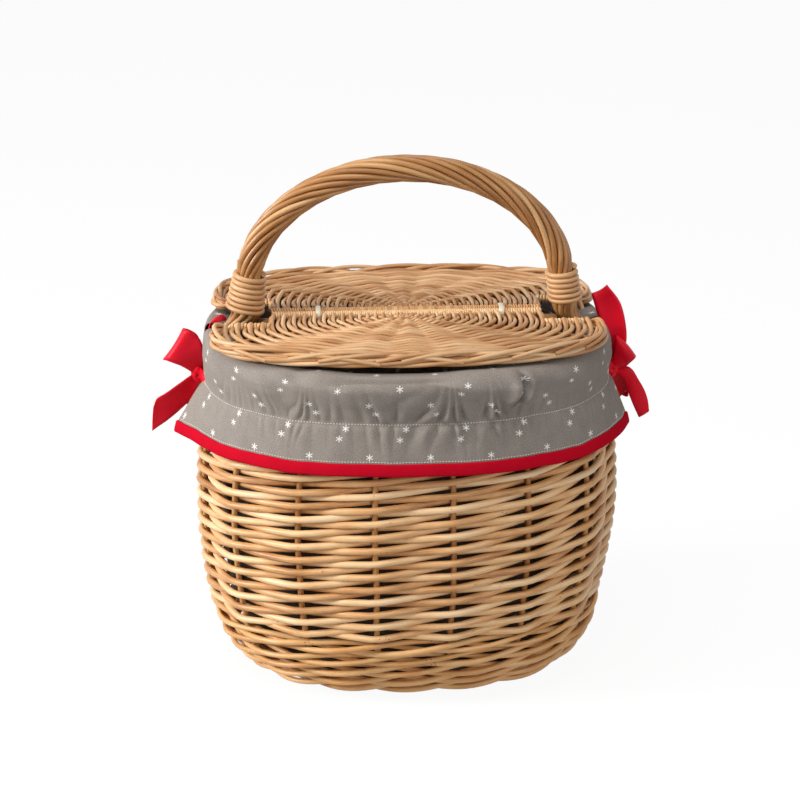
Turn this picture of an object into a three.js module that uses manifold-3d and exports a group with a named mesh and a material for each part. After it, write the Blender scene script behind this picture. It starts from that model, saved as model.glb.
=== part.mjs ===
// Oval willow picnic basket: randed wall, two lids hinged at the middle, a twisted hoop handle,
// a gathered cotton liner with turned down cuffs, a bound hem and two ribbon bows.
// Millimetres, +Z up, X along the hinge line, Y towards the back, origin under the middle of the foot.

import * as THREE from 'three';
import { mergeVertices } from 'three/addons/utils/BufferGeometryUtils.js';
import Module from 'manifold-3d';

const wasm = await Module();
wasm.setup();

// Clearances
const seatGap = 0.3;
const runningGap = 0.4;
const levelClear = 2;

// Body
const bodyLength = 386;
const bodyDepth = 308;
const wallHeight = 302;
const weaveThickness = 8;
const waleHeight = 70;
const stakeDiameter = 5;
const stakeCount = 16;
const ovalPower = 2.4;
const ovalSteps = 48;
// The rods' passes in front of the stakes, one above the other, and how far the hollows lie behind them
const passPitch = 12.6;
const passHollow = 4.8;
const passRise = 1.8;
const passEase = 0.5;
const climbSteps = 600;
// Shares of the wall's height at which the stakes and the inside of the side weave bend
const innerBendShares = [0.1, 0.172, 0.265, 0.371, 0.66, 0.927];
// Each row is a height as a share of the wall's height, and a size as a share of the widest oval.
const wallProfileShares = [
  [0.013, 0.735],
  [0.04, 0.81],
  [0.1, 0.89],
  [0.172, 0.94],
  [0.265, 0.972],
  [0.371, 0.99],
  [0.5, 1],
  [0.66, 0.996],
  [0.795, 0.972],
  [0.927, 0.935],
  [1, 0.92],
];
const stripShares = [-0.5, 0, 0.5];

// Foot and base
const footHeight = 12;
const footWidth = 16;
const baseThickness = 6;
const baseStickDiameter = 8;
const baseStickCount = 4;
const baseStickSpacing = 30;
const baseStickSides = 8;

// Rim border
const rimHeight = 14;
const rimThickness = 12;
const rimRound = 3;

// Handle
const handleRise = 141;
const handleInset = 38.5;
const handleArchDeg = 84;
const wrapLeanShare = 0.14;
const ropeDiameter = 24.4;
const coreDiameter = 10;
const coreWallInset = 18.5;
const coreDrop = 80;
const coreSteps = 48;
const coreQuarterSteps = 3;
const boreEase = 1.2;
const ropeSides = 10;
const ropeArchSteps = 24;
const handleArchSteps = 9;
const ropeNeckRadius = 10;
const ropeEndRadius = 9;
const ropeFootRadius = { left: 13.6, right: 11 };
const wrapRodDiameter = 4.5;
const wrapPitch = 5.3;
const leftTurnCount = 7;
const rightTurnCount = 6;
const wrapTopDrop = 106;
const wrapSeat = 0.5;
const loopSteps = 24;
const loopSides = 6;

// Lids
const lidLift = 3.5;
const lidBorderHeight = 12.5;
const lidBorderWidth = 13;
const lidThickness = 7;
const lidSideInset = 2;
const lidFrontInset = 5.7;
const lidCornerDepth = 58;
const lidCornerRound = 7.5;
const lidNotchDepth = 40;
const notchClear = 3;
const hingeRodDiameter = 9;
const hingeGap = 1.4;
const ribDiameter = 5;
const ribSides = 6;
const ribStart = 16;
const ribAnglesDeg = [24, 45, 67.5, 90, 112.5, 135, 156];
const lidCurveSteps = 28;
// Rows of the lid's weave: the first row's place on the straight edge, the rows' spacing there and
// what it gains by the border, the rows from the border inwards that stand in relief, and its depth
const lidRowStart = 13;
const lidRowPitch = 3.1;
const lidRowGain = 3.4;
const lidRowEnd = 160.5;
const lidReliefRows = 15;
const lidRowHollow = 3.2;
const lidCornerSteps = 4;
const barDiameter = 10;
const rodSides = 12;

// Ties round the two hinge rods and the bar
const tieWidth = 4.6;
const tieThickness = 1.2;
const tieArcSteps = 6;
const tieSlotClear = 1;
const tiePlaceShares = { left: -0.67, right: 0.73 };

// Liner
const clothThickness = 1.4;
const linerEndInset = 23.4;
const linerSideInset = 15;
const linerTopRise = 3;
const linerLevelShares = [0.1, 0.265, 0.66];
const cuffSteps = 30;
const cuffTopSlit = 9;
const cuffHemSlit = 31;
const cuffCornerFlare = 7;
const foldDepth = 2.2;
const foldCount = 13;
const puffWidth = 9.5;
const puffDrop = 20;
const puffShares = { shoulder: 0.4, brow: 0.9, browDrop: 0.45 };
const foldShares = {
  shoulder: 0.2,
  brow: 0.6,
  puff: 1,
  tuck: 0.8,
  casing: 0.15,
  skirt: 0.5,
  hem: 0.3,
};
const casingDrop = 41;
const casingStandOff = 3;
const skirtDrop = 58;
const skirtStandOff = 5;
const hemTopDrop = 74.4;
const hemStandOff = 6;
const hemHeight = 10.5;
const hemThickness = 2;

// Bows
const ribbonWidth = 32;
const ribbonThickness = 1.6;
const knotWidth = 26;
const knotDepth = 15;
const knotHeight = 22;
const knotDrop = 45;
const bowLoopLength = 50;
const bowLoopFatness = 24;
const bowLoopSteps = 14;
const bowTailLength = 50;
const bowTailSteps = 4;
const bowTailWidthShare = 0.7;
const bowTailSwayShare = 0.08;
const bowNeckShare = 0.45;
const bowStartShare = 1 / 6;
const knotRoundSteps = 12;
const knotUpSteps = 8;
const leadWidth = 6;

// Worked out from the sizes above
const rimTop = wallHeight + rimHeight;
const lidUnder = rimTop + lidLift;
const lidTop = lidUnder + lidBorderHeight;
const plateUnder = lidTop - lidThickness;
const hingeRadius = hingeRodDiameter / 2;
const hingeOffset = hingeRadius + hingeGap / 2;
const hingeHeight = lidTop - hingeRadius;
const barRadius = barDiameter / 2;
const barDistance = hingeRadius + barRadius + seatGap;
const barHeight = hingeHeight - Math.sqrt(barDistance ** 2 - hingeOffset ** 2);
const coreRadius = coreDiameter / 2;
const ropeRadius = ropeDiameter / 2;
const wrapRodRadius = wrapRodDiameter / 2;
const stakeRadius = stakeDiameter / 2;
const baseUnder = footHeight + seatGap;
const baseTop = baseUnder + baseThickness;

// Half length and half depth of the wall's outside at a height.
function wallSize(height) {
  const share = height / wallHeight;
  const rows = wallProfileShares;
  let row = 0;
  while (row < rows.length - 2 && share > rows[row + 1][0]) {
    row += 1;
  }
  const between = (share - rows[row][0]) / (rows[row + 1][0] - rows[row][0]);
  const size = rows[row][1] + (rows[row + 1][1] - rows[row][1]) * Math.min(between, 1);
  return [(size * bodyLength) / 2, (size * bodyDepth) / 2];
}

function ovalPoint(angle, halfLength, halfDepth, height) {
  const power = 2 / ovalPower;
  const across = Math.cos(angle);
  const along = Math.sin(angle);
  return new THREE.Vector3(
    halfLength * Math.sign(across) * Math.abs(across) ** power,
    halfDepth * Math.sign(along) * Math.abs(along) ** power,
    height,
  );
}

// Angles of places spread evenly round the oval, from the +X end.
function evenAngles(count, startShare) {
  const fine = 2000;
  const lengths = [0];
  const size = [bodyLength / 2, bodyDepth / 2];
  let before = ovalPoint(0, ...size, 0);
  for (let i = 1; i <= fine; i += 1) {
    const here = ovalPoint((i / fine) * 2 * Math.PI, ...size, 0);
    lengths.push(lengths[i - 1] + here.distanceTo(before));
    before = here;
  }
  const angles = [];
  let at = 0;
  for (let k = 0; k < count; k += 1) {
    const want = ((k + startShare) / count) * lengths[fine];
    while (lengths[at + 1] < want) {
      at += 1;
    }
    const part = (want - lengths[at]) / (lengths[at + 1] - lengths[at]);
    angles.push(((at + part) / fine) * 2 * Math.PI);
  }
  return angles;
}

const roundAngles = evenAngles(ovalSteps, 0);
const stakeAngles = evenAngles(2 * stakeCount, 0);

function ovalLoop(height, insetLength, insetDepth, angles = roundAngles) {
  const [halfLength, halfDepth] = wallSize(height);
  return angles.map((angle) => ovalPoint(angle, halfLength - insetLength, halfDepth - insetDepth, height));
}

function lifted(loop, height) {
  return loop.map((point) => new THREE.Vector3(point.x, point.y, height));
}

// A closed geometry from a list of points and triangles, its faces turned outwards.
function closedGeometry(points, triangles) {
  const normalSum = new THREE.Vector3();
  let volume = 0;
  for (const [a, b, c] of triangles) {
    volume += points[a].dot(normalSum.crossVectors(points[b], points[c]));
  }
  const facing = volume < 0 ? triangles.map(([a, b, c]) => [a, c, b]) : triangles;
  const geometry = new THREE.BufferGeometry();
  const places = points.flatMap((point) => [point.x, point.y, point.z]);
  geometry.setAttribute('position', new THREE.Float32BufferAttribute(places, 3));
  geometry.setIndex(facing.flat());
  return geometry;
}

// Skins a row of loops of equal count. A ring joins its last loop to its first, and otherwise
// the two ends are capped.
function skin(loops, ring = false) {
  const count = loops[0].length;
  const points = loops.flat();
  const triangles = [];
  const spans = ring ? loops.length : loops.length - 1;
  for (let i = 0; i < spans; i += 1) {
    const here = i * count;
    const next = ((i + 1) % loops.length) * count;
    for (let j = 0; j < count; j += 1) {
      const k = (j + 1) % count;
      triangles.push([here + j, here + k, next + k], [here + j, next + k, next + j]);
    }
  }
  if (!ring) {
    for (const [start, flip] of [[0, true], [(loops.length - 1) * count, false]]) {
      const middle = new THREE.Vector3();
      for (let j = 0; j < count; j += 1) {
        middle.addScaledVector(points[start + j], 1 / count);
      }
      points.push(middle);
      const hub = points.length - 1;
      for (let j = 0; j < count; j += 1) {
        const k = (j + 1) % count;
        triangles.push(flip ? [hub, start + k, start + j] : [hub, start + j, start + k]);
      }
    }
  }
  return closedGeometry(points, triangles);
}

// A sheet with a thickness: grid[u][v] is its outer face, and the inner face lies behind it.
function thickSheet(grid, thickness) {
  const rows = grid.length;
  const columns = grid[0].length;
  const inner = grid.map((row, u) => row.map((point, v) => {
    const [before, after] = [grid[Math.max(u - 1, 0)][v], grid[Math.min(u + 1, rows - 1)][v]];
    const [above, below] = [row[Math.max(v - 1, 0)], row[Math.min(v + 1, columns - 1)]];
    const alongU = new THREE.Vector3().subVectors(after, before);
    const alongV = new THREE.Vector3().subVectors(below, above);
    const normal = alongU.cross(alongV).normalize();
    return point.clone().addScaledVector(normal, -thickness);
  }));
  const points = [...grid.flat(), ...inner.flat()];
  const shift = rows * columns;
  const triangles = [];
  const quad = (a, b, c, d) => triangles.push([a, b, c], [a, c, d]);
  for (let u = 0; u < rows - 1; u += 1) {
    for (let v = 0; v < columns - 1; v += 1) {
      const a = u * columns + v;
      const b = a + columns;
      quad(a, b, b + 1, a + 1);
      quad(shift + a, shift + a + 1, shift + b + 1, shift + b);
    }
    const first = u * columns;
    const last = first + columns - 1;
    quad(first, shift + first, shift + first + columns, first + columns);
    quad(last, last + columns, shift + last + columns, shift + last);
  }
  for (let v = 0; v < columns - 1; v += 1) {
    const end = (rows - 1) * columns + v;
    quad(v, v + 1, shift + v + 1, shift + v);
    quad(end, shift + end, shift + end + 1, end + 1);
  }
  return closedGeometry(points, triangles);
}

function toSolid(geometry) {
  const plain = geometry.clone();
  plain.deleteAttribute('normal');
  plain.deleteAttribute('uv');
  const merged = mergeVertices(plain);
  return new wasm.Manifold(new wasm.Mesh({
    numProp: 3,
    vertProperties: merged.attributes.position.array,
    triVerts: new Uint32Array(merged.index.array),
  }));
}

function fromSolid(solid) {
  const mesh = solid.getMesh();
  const geometry = new THREE.BufferGeometry();
  geometry.setAttribute('position', new THREE.Float32BufferAttribute(mesh.vertProperties, 3));
  geometry.setIndex(new THREE.Uint32BufferAttribute(mesh.triVerts, 1));
  return geometry;
}

// Finishes
function finish(color, roughness) {
  return new THREE.MeshStandardMaterial({ color, roughness, metalness: 0 });
}

const finishes = {
  willow: () => finish(0xc79a66, 0.55),
  paleWillow: () => finish(0xd3ab78, 0.5),
  cotton: () => finish(0x8a827b, 0.9),
  ribbon: () => finish(0xb80f24, 0.6),
  nylon: () => finish(0xe6dfc8, 0.4),
};

const basket = new THREE.Group();

function place(name, geometry, material, group = basket) {
  const mesh = new THREE.Mesh(geometry, material());
  mesh.name = name;
  group.add(mesh);
  return mesh;
}

// Foot, base and its sticks
function addBase() {
  const [footLength, footDepth] = wallSize(wallProfileShares[0][0] * wallHeight);
  const footOval = (inset, height) => roundAngles.map((angle) => ovalPoint(
    angle,
    footLength - weaveThickness - seatGap - inset,
    footDepth - weaveThickness - seatGap - inset,
    height,
  ));
  place('foot_border', skin([
    footOval(0, 0),
    footOval(0, footHeight),
    footOval(footWidth, footHeight),
    footOval(footWidth, 0),
  ], true), finishes.willow);
  const plate = ovalLoop(baseUnder, weaveThickness + seatGap, weaveThickness + seatGap);
  place('base_weave', skin([plate, lifted(plate, baseTop)]), finishes.willow);

  const stickRadius = baseStickDiameter / 2;
  const holeLength = footLength - weaveThickness - seatGap - footWidth;
  const holeDepth = footDepth - weaveThickness - seatGap - footWidth;
  for (let k = 0; k < baseStickCount; k += 1) {
    const across = (k - (baseStickCount - 1) / 2) * baseStickSpacing;
    const edge = Math.abs(across) + stickRadius;
    const half = holeLength * (1 - (edge / holeDepth) ** ovalPower) ** (1 / ovalPower) - seatGap;
    const stick = new THREE.CylinderGeometry(stickRadius, stickRadius, 2 * half, baseStickSides);
    const mesh = place(`base_stick_${k + 1}`, stick, finishes.willow);
    mesh.rotation.z = Math.PI / 2;
    mesh.position.set(0, across, baseUnder - seatGap - stickRadius);
  }
}

// The wall as two bands of weave, its border, and the stakes behind the weave
function wallBand(heights) {
  const outer = heights.map((height) => ovalLoop(height, 0, 0));
  const inner = heights.map((height) => ovalLoop(height, weaveThickness, weaveThickness));
  return skin([...outer, ...inner.reverse()], true);
}

// Heights that lie a pitch apart along the wall's slope.
function climbHeights(from, to, pitch) {
  const heights = [];
  let climbed = 0;
  let before = wallSize(from)[0];
  for (let i = 0; i <= climbSteps; i += 1) {
    const height = from + ((to - from) * i) / climbSteps;
    const here = wallSize(height)[0];
    climbed += i ? Math.hypot((to - from) / climbSteps, here - before) : 0;
    before = here;
    if (climbed >= heights.length * pitch) {
      heights.push(height);
    }
  }
  return heights;
}

// The side weave: rods pass level in front of the stakes, row over row, with a hollow between two
// passes, and dip to the hollows' depth halfway between two stakes.
function sideWeave(innerHeights) {
  const hem = rimTop - hemTopDrop - hemHeight;
  const halfRows = climbHeights(waleHeight + passRise, hem + hemHeight, passPitch / 2);
  const rows = halfRows.filter((_, i) => i % 2 === 0);
  const count = stakeAngles.length;
  const atPass = (height) => stakeAngles.map((angle, i) => {
    const [halfLength, halfDepth] = wallSize(height);
    const inset = i % 2 ? 0 : passHollow;
    return ovalPoint(angle, halfLength - inset, halfDepth - inset, height);
  });
  const inset = weaveThickness - passEase;
  const loops = rows.map((height, i) => lifted(atPass(height), i ? height : waleHeight + seatGap));
  const hollows = rows.slice(1).map((_, i) => {
    const [halfLength, halfDepth] = wallSize(halfRows[2 * i + 1]);
    return stakeAngles.filter((_, k) => k % 2).map((angle) => ovalPoint(
      angle,
      halfLength - passHollow,
      halfDepth - passHollow,
      halfRows[2 * i + 1],
    ));
  });
  const plain = innerHeights.filter((height) => height > rows[rows.length - 1] + passPitch)
    .map((height) => ovalLoop(height, 0, 0, stakeAngles));
  const inner = innerHeights.map((height) => ovalLoop(height, inset, inset, stakeAngles)).reverse();
  const rings = [...loops, ...plain, ...inner];
  const points = [...rings.flat(), ...hollows.flat()];
  const triangles = [];
  for (let i = 0; i < rings.length; i += 1) {
    const low = i * count;
    const high = ((i + 1) % rings.length) * count;
    for (let j = 0; j < count; j += 1) {
      const k = (j + 1) % count;
      if (i >= hollows.length) {
        triangles.push([low + j, low + k, high + k], [low + j, high + k, high + j]);
      } else if (j % 2) {
        const hollow = rings.length * count + (i * count) / 2 + (j - 1) / 2;
        triangles.push([low + j, low + k, hollow], [hollow, low + k, high + k], [hollow, high + k, high + j]);
      } else {
        const hollow = rings.length * count + (i * count) / 2 + j / 2;
        triangles.push([low + j, low + k, hollow], [low + j, hollow, high + j], [high + j, hollow, high + k]);
      }
    }
  }
  return closedGeometry(points, triangles);
}

function addWall() {
  const profileHeights = wallProfileShares.map(([share]) => share * wallHeight);
  const lower = profileHeights.filter((height) => height < waleHeight - levelClear);
  place('lower_wale', wallBand([...lower, waleHeight]), finishes.willow);
  const bends = innerBendShares.map((share) => share * wallHeight);
  const upper = bends.filter((height) => height > waleHeight + levelClear);
  place('side_weave', sideWeave([waleHeight + seatGap, ...upper, wallHeight - seatGap]), finishes.willow);

  const [rimLength, rimDepth] = wallSize(wallHeight);
  const rimOval = (inset, height) => roundAngles.map(
    (angle) => ovalPoint(angle, rimLength - inset, rimDepth - inset, height),
  );
  place('rim_border', skin([
    rimOval(0, wallHeight),
    rimOval(0, rimTop - rimRound),
    rimOval(rimRound, rimTop),
    rimOval(rimThickness - rimRound, rimTop),
    rimOval(rimThickness, rimTop - rimRound),
    rimOval(rimThickness, wallHeight),
  ], true), finishes.willow);

  const stakeInset = weaveThickness + seatGap + stakeRadius;
  const stakeHeights = [
    baseTop + seatGap,
    ...bends.filter((height) => height > baseTop + stakeDiameter),
    wallHeight - seatGap,
  ];
  evenAngles(stakeCount, 0.5).forEach((angle, k) => {
    const loops = stakeHeights.map((height) => {
      const [halfLength, halfDepth] = wallSize(height);
      const centre = ovalPoint(angle, halfLength - stakeInset, halfDepth - stakeInset, height);
      const outward = ovalPoint(angle + 0.01, halfLength, halfDepth, height)
        .sub(ovalPoint(angle - 0.01, halfLength, halfDepth, height)).normalize();
      const normal = new THREE.Vector3(outward.y, -outward.x, 0);
      return [[1, 0], [0, 1], [-1, 0], [0, -1]].map(([side, out]) => centre.clone()
        .addScaledVector(outward, (side + out) * stakeRadius * Math.SQRT1_2)
        .addScaledVector(normal, (out - side) * stakeRadius * Math.SQRT1_2));
    });
    place(`side_stake_${String(k + 1).padStart(2, '0')}`, skin(loops), finishes.willow);
  });
}

// Handle: a core bow whose legs run down inside the wall, a rope of rods round it, and two wraps
const [rimHalfLength, rimHalfDepth] = wallSize(wallHeight);
const handleTop = lidTop + handleRise;
const wrapTop = handleTop - wrapTopDrop;
const wrapTurns = { left: leftTurnCount, right: rightTurnCount };
const wrapLength = Math.max(leftTurnCount, rightTurnCount) * wrapPitch;
const archFootX = rimHalfLength - handleInset;
const wrapFootX = archFootX + wrapLength * wrapLeanShare;

function coreX(height) {
  return wallSize(Math.min(height, wallHeight))[0] - coreWallInset;
}

function handleCurve() {
  const side = [];
  const archEnd = THREE.MathUtils.degToRad(handleArchDeg);
  const archHeight = (handleTop - ropeRadius - wrapTop) / (1 - Math.cos(archEnd));
  for (let i = 0; i <= handleArchSteps; i += 1) {
    const angle = (i / handleArchSteps) * archEnd;
    side.push([
      (archFootX * Math.sin(angle)) / Math.sin(archEnd),
      handleTop - ropeRadius - archHeight * (1 - Math.cos(angle)),
    ]);
  }
  for (const share of [1 / 3, 2 / 3, 1]) {
    side.push([archFootX + (wrapFootX - archFootX) * share, wrapTop - wrapLength * share]);
  }
  const rimLevel = rimTop - rimHeight / 2;
  side.push([coreX(rimLevel), rimLevel]);
  side.push([coreX(wallHeight - coreDrop / 2), wallHeight - coreDrop / 2]);
  side.push([coreX(wallHeight - coreDrop), wallHeight - coreDrop]);
  const right = side.map(([x, z]) => new THREE.Vector3(x, 0, z));
  const left = side.slice(1).reverse().map(([x, z]) => new THREE.Vector3(-x, 0, z));
  return new THREE.CatmullRomCurve3([...left, ...right], false, 'centripetal');
}

const handleLine = handleCurve();
const handleLength = handleLine.getLength();
const alongY = new THREE.Vector3(0, 1, 0);

// Centre and the two directions square to the handle's line, at a share of its length.
function handleFrame(share) {
  const centre = handleLine.getPointAt(share);
  const tangent = handleLine.getTangentAt(share);
  const out = new THREE.Vector3().crossVectors(alongY, tangent).normalize();
  return { centre, tangent, out };
}

// The share of the handle's length at which its foot on one side passes a height.
function shareAtHeight(side, height) {
  let low = 0.25;
  let high = 0;
  for (let i = 0; i < 40; i += 1) {
    const middle = (low + high) / 2;
    if (handleLine.getPointAt(middle).z > height) {
      low = middle;
    } else {
      high = middle;
    }
  }
  return side === 'left' ? low : 1 - low;
}

const wrapEnds = {};
const ropeEnds = {};
for (const side of ['left', 'right']) {
  const top = shareAtHeight(side, wrapTop);
  const travel = (wrapTurns[side] * wrapPitch) / handleLength;
  wrapEnds[side] = { top, bottom: side === 'left' ? top - travel : top + travel };
  ropeEnds[side] = shareAtHeight(side, lidUnder + levelClear);
}

function ropeRadiusAt(share) {
  const side = share < 0.5 ? 'left' : 'right';
  const fromEnd = side === 'left' ? share : 1 - share;
  const end = side === 'left' ? ropeEnds.left : 1 - ropeEnds.right;
  const bottom = side === 'left' ? wrapEnds.left.bottom : 1 - wrapEnds.right.bottom;
  const top = side === 'left' ? wrapEnds.left.top : 1 - wrapEnds.right.top;
  const release = top + (wrapPitch * 2) / handleLength;
  const rows = [
    [end, ropeEndRadius],
    [bottom, ropeFootRadius[side]],
    [top, ropeNeckRadius],
    [release, ropeRadius],
    [1, ropeRadius],
  ];
  let row = 0;
  while (row < rows.length - 2 && fromEnd > rows[row + 1][0]) {
    row += 1;
  }
  const part = (fromEnd - rows[row][0]) / (rows[row + 1][0] - rows[row][0]);
  return rows[row][1] + (rows[row + 1][1] - rows[row][1]) * Math.min(Math.max(part, 0), 1);
}

// The wrapped stretch of a foot is straight: its ends and its direction.
function wrapAxis(side) {
  const start = handleLine.getPointAt(wrapEnds[side].top);
  const end = handleLine.getPointAt(wrapEnds[side].bottom);
  const tangent = new THREE.Vector3().subVectors(end, start).normalize();
  const along = side === 'left' ? tangent.clone().negate() : tangent;
  const out = new THREE.Vector3().crossVectors(alongY, along).normalize();
  return { start, end, out };
}

function ringAt(share, radius, sides) {
  const { centre, out } = handleFrame(share);
  for (const side of ['left', 'right']) {
    if (share === wrapEnds[side].top || share === wrapEnds[side].bottom) {
      out.copy(wrapAxis(side).out);
    }
  }
  const ring = [];
  for (let j = 0; j < sides; j += 1) {
    const turn = (j / sides) * 2 * Math.PI;
    ring.push(centre.clone()
      .addScaledVector(out, radius * Math.cos(turn))
      .addScaledVector(alongY, radius * Math.sin(turn)));
  }
  return ring;
}

// The wrap's rod as one unbroken winding, from the top of the wrap down.
function wrapLoops(side) {
  const { start, end, out } = wrapAxis(side);
  const steps = wrapTurns[side] * loopSteps;
  const centres = [];
  for (let i = 0; i <= steps; i += 1) {
    const centre = start.clone().lerp(end, i / steps);
    const turn = (i / loopSteps) * 2 * Math.PI;
    const outward = out.clone().multiplyScalar(Math.cos(turn)).addScaledVector(alongY, Math.sin(turn));
    const under = ropeNeckRadius + ((ropeFootRadius[side] - ropeNeckRadius) * i) / steps;
    const reach = under + wrapSeat + wrapRodRadius;
    centres.push({ point: centre.clone().addScaledVector(outward, reach), outward });
  }
  const loops = centres.map(({ point, outward }, i) => {
    const before = centres[Math.max(i - 1, 0)].point;
    const after = centres[Math.min(i + 1, steps)].point;
    const along = new THREE.Vector3().subVectors(after, before).normalize();
    const across = new THREE.Vector3().crossVectors(along, outward).normalize();
    const ring = [];
    for (let j = 0; j < loopSides; j += 1) {
      const turn = ((j + 0.5) / loopSides) * 2 * Math.PI;
      ring.push(point.clone()
        .addScaledVector(outward, wrapRodRadius * Math.cos(turn))
        .addScaledVector(across, wrapRodRadius * Math.sin(turn)));
    }
    return ring;
  });
  let leastGap = Infinity;
  for (let i = 0; i + loopSteps / 2 < centres.length; i += 1) {
    for (let j = i + loopSteps / 2; j < centres.length; j += 1) {
      leastGap = Math.min(leastGap, centres[i].point.distanceTo(centres[j].point) - wrapRodDiameter);
    }
  }
  console.log(`${side}_wrap: least gap between its turns ${leastGap.toFixed(2)} mm`);
  return loops;
}

function addHandle() {
  const section = new THREE.Shape();
  section.absarc(0, 0, coreRadius, 0, 2 * Math.PI, false);
  place('handle_bow', new THREE.ExtrudeGeometry(section, {
    steps: coreSteps,
    curveSegments: coreQuarterSteps,
    bevelEnabled: false,
    extrudePath: handleLine,
  }), finishes.willow);

  const middle = (side) => (ropeEnds[side] + wrapEnds[side].bottom) / 2;
  const stations = [ropeEnds.left, middle('left'), wrapEnds.left.bottom, wrapEnds.left.top];
  const archStart = wrapEnds.left.top + (wrapPitch * 2) / handleLength;
  const archEnd = wrapEnds.right.top - (wrapPitch * 2) / handleLength;
  for (let i = 0; i <= ropeArchSteps; i += 1) {
    stations.push(archStart + ((archEnd - archStart) * i) / ropeArchSteps);
  }
  stations.push(wrapEnds.right.top, wrapEnds.right.bottom, middle('right'), ropeEnds.right);
  const boreRadius = coreRadius / Math.cos(Math.PI / ropeSides) + boreEase;
  const outer = stations.map((share) => ringAt(share, ropeRadiusAt(share), ropeSides));
  const bore = stations.map((share) => ringAt(share, boreRadius, ropeSides));
  place('handle_rope', skin([...outer, ...bore.reverse()], true), finishes.paleWillow);

  place('left_wrap', skin(wrapLoops('left')), finishes.paleWillow);
  place('right_wrap', skin(wrapLoops('right')), finishes.paleWillow);
}

// The bar under the meeting edges of the lids, from one foot of the handle to the other
function barEnd(side) {
  const { left, right } = ropeEnds;
  const start = side === 'left' ? left : right;
  const finishShare = wrapEnds[side].top;
  let reach = Infinity;
  for (let i = 0; i <= 40; i += 1) {
    const share = start + ((finishShare - start) * i) / 40;
    const { centre, out } = handleFrame(share);
    const inward = side === 'left' ? 1 : -1;
    const facing = Math.sign(out.x) === inward ? 1 : -1;
    const point = centre.clone().addScaledVector(out, facing * ropeRadiusAt(share));
    if (point.z < barHeight + barRadius + seatGap) {
      reach = Math.min(reach, Math.abs(point.x));
    }
  }
  return reach - seatGap;
}

// Turns a flat outline so that its x runs along Y and its y along Z, with its depth along X.
const outlineInYZ = new THREE.Matrix4().makeBasis(
  new THREE.Vector3(0, 1, 0),
  new THREE.Vector3(0, 0, 1),
  new THREE.Vector3(1, 0, 0),
);

function addBar() {
  const leftEnd = barEnd('left');
  const rightEnd = barEnd('right');
  const rod = new THREE.CylinderGeometry(barRadius, barRadius, leftEnd + rightEnd, rodSides);
  const bar = place('centre_bar', rod, finishes.willow);
  bar.rotation.z = Math.PI / 2;
  bar.position.set((rightEnd - leftEnd) / 2, 0, barHeight);

  for (const side of ['left', 'right']) {
    const inner = tieOutline(runningGap);
    const outer = tieOutline(runningGap + tieThickness);
    const shape = new THREE.Shape(outer);
    shape.holes.push(new THREE.Path(inner));
    const loop = new THREE.ExtrudeGeometry(shape, { depth: tieWidth, bevelEnabled: false });
    const tie = place(`${side}_tie`, loop, finishes.nylon);
    tie.quaternion.setFromRotationMatrix(outlineInYZ);
    tie.position.x = tiePlaceShares[side] * notchX - tieWidth / 2;
  }
}

// The path of a strap drawn tight round both hinge rods and the bar, in the YZ plane.
function tieOutline(standOff) {
  const circles = [
    { y: hingeOffset, z: hingeHeight, r: hingeRadius + standOff },
    { y: -hingeOffset, z: hingeHeight, r: hingeRadius + standOff },
    { y: 0, z: barHeight, r: barRadius + standOff },
  ];
  const outline = [];
  for (let i = 0; i < circles.length; i += 1) {
    const before = circles[(i + circles.length - 1) % circles.length];
    const here = circles[i];
    const after = circles[(i + 1) % circles.length];
    const start = tangentAngle(before, here);
    let end = tangentAngle(here, after);
    while (end < start) {
      end += 2 * Math.PI;
    }
    for (let k = 0; k <= tieArcSteps; k += 1) {
      const angle = start + ((end - start) * k) / tieArcSteps;
      outline.push(new THREE.Vector2(here.y + here.r * Math.cos(angle), here.z + here.r * Math.sin(angle)));
    }
  }
  return outline;
}

// The angle at which a strap going anticlockwise leaves one circle for the next.
function tangentAngle(from, to) {
  const dy = to.y - from.y;
  const dz = to.z - from.z;
  const distance = Math.hypot(dy, dz);
  return Math.atan2(dz, dy) - Math.PI / 2 - Math.asin((to.r - from.r) / distance);
}

// Lids
const lidHalfLength = rimHalfLength - lidSideInset;
const lidHalfDepth = rimHalfDepth - lidFrontInset;
const wrapReach = ropeFootRadius.left + wrapSeat + wrapRodDiameter;
const notchX = archFootX - wrapReach - notchClear;
const edgeY = hingeOffset + hingeRadius + seatGap;

// The lid's outer curve from the right notch round the front to the left one, drawn in by an inset.
function lidCurve(inset) {
  const halfLength = lidHalfLength - inset;
  const reach = lidHalfDepth - lidCornerDepth - inset;
  const front = [];
  for (let i = 0; i <= lidCurveSteps; i += 1) {
    const angle = -(i / lidCurveSteps) * Math.PI;
    const point = ovalPoint(angle, halfLength, reach, 0);
    front.push(new THREE.Vector2(point.x, point.y - lidCornerDepth));
  }
  return front;
}

// The border's outline: the lid's curve with its two ends rounded off where they meet the notches.
function borderOutline() {
  const outer = lidCurve(0);
  const inner = lidCurve(lidBorderWidth).reverse();
  const corner = [];
  for (let i = 1; i <= lidCornerSteps; i += 1) {
    const angle = (i / lidCornerSteps) * (Math.PI / 2);
    corner.push([
      lidHalfLength - lidCornerRound + lidCornerRound * Math.cos(angle),
      -lidCornerDepth + (lidCornerDepth - lidNotchDepth) * Math.sin(angle),
    ]);
  }
  const innerX = lidHalfLength - lidBorderWidth;
  return [
    new THREE.Vector2(innerX, -lidNotchDepth),
    ...corner.slice().reverse().map(([x, y]) => new THREE.Vector2(x, y)),
    ...outer,
    ...corner.map(([x, y]) => new THREE.Vector2(-x, y)),
    new THREE.Vector2(-innerX, -lidNotchDepth),
    ...inner,
  ];
}

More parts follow.
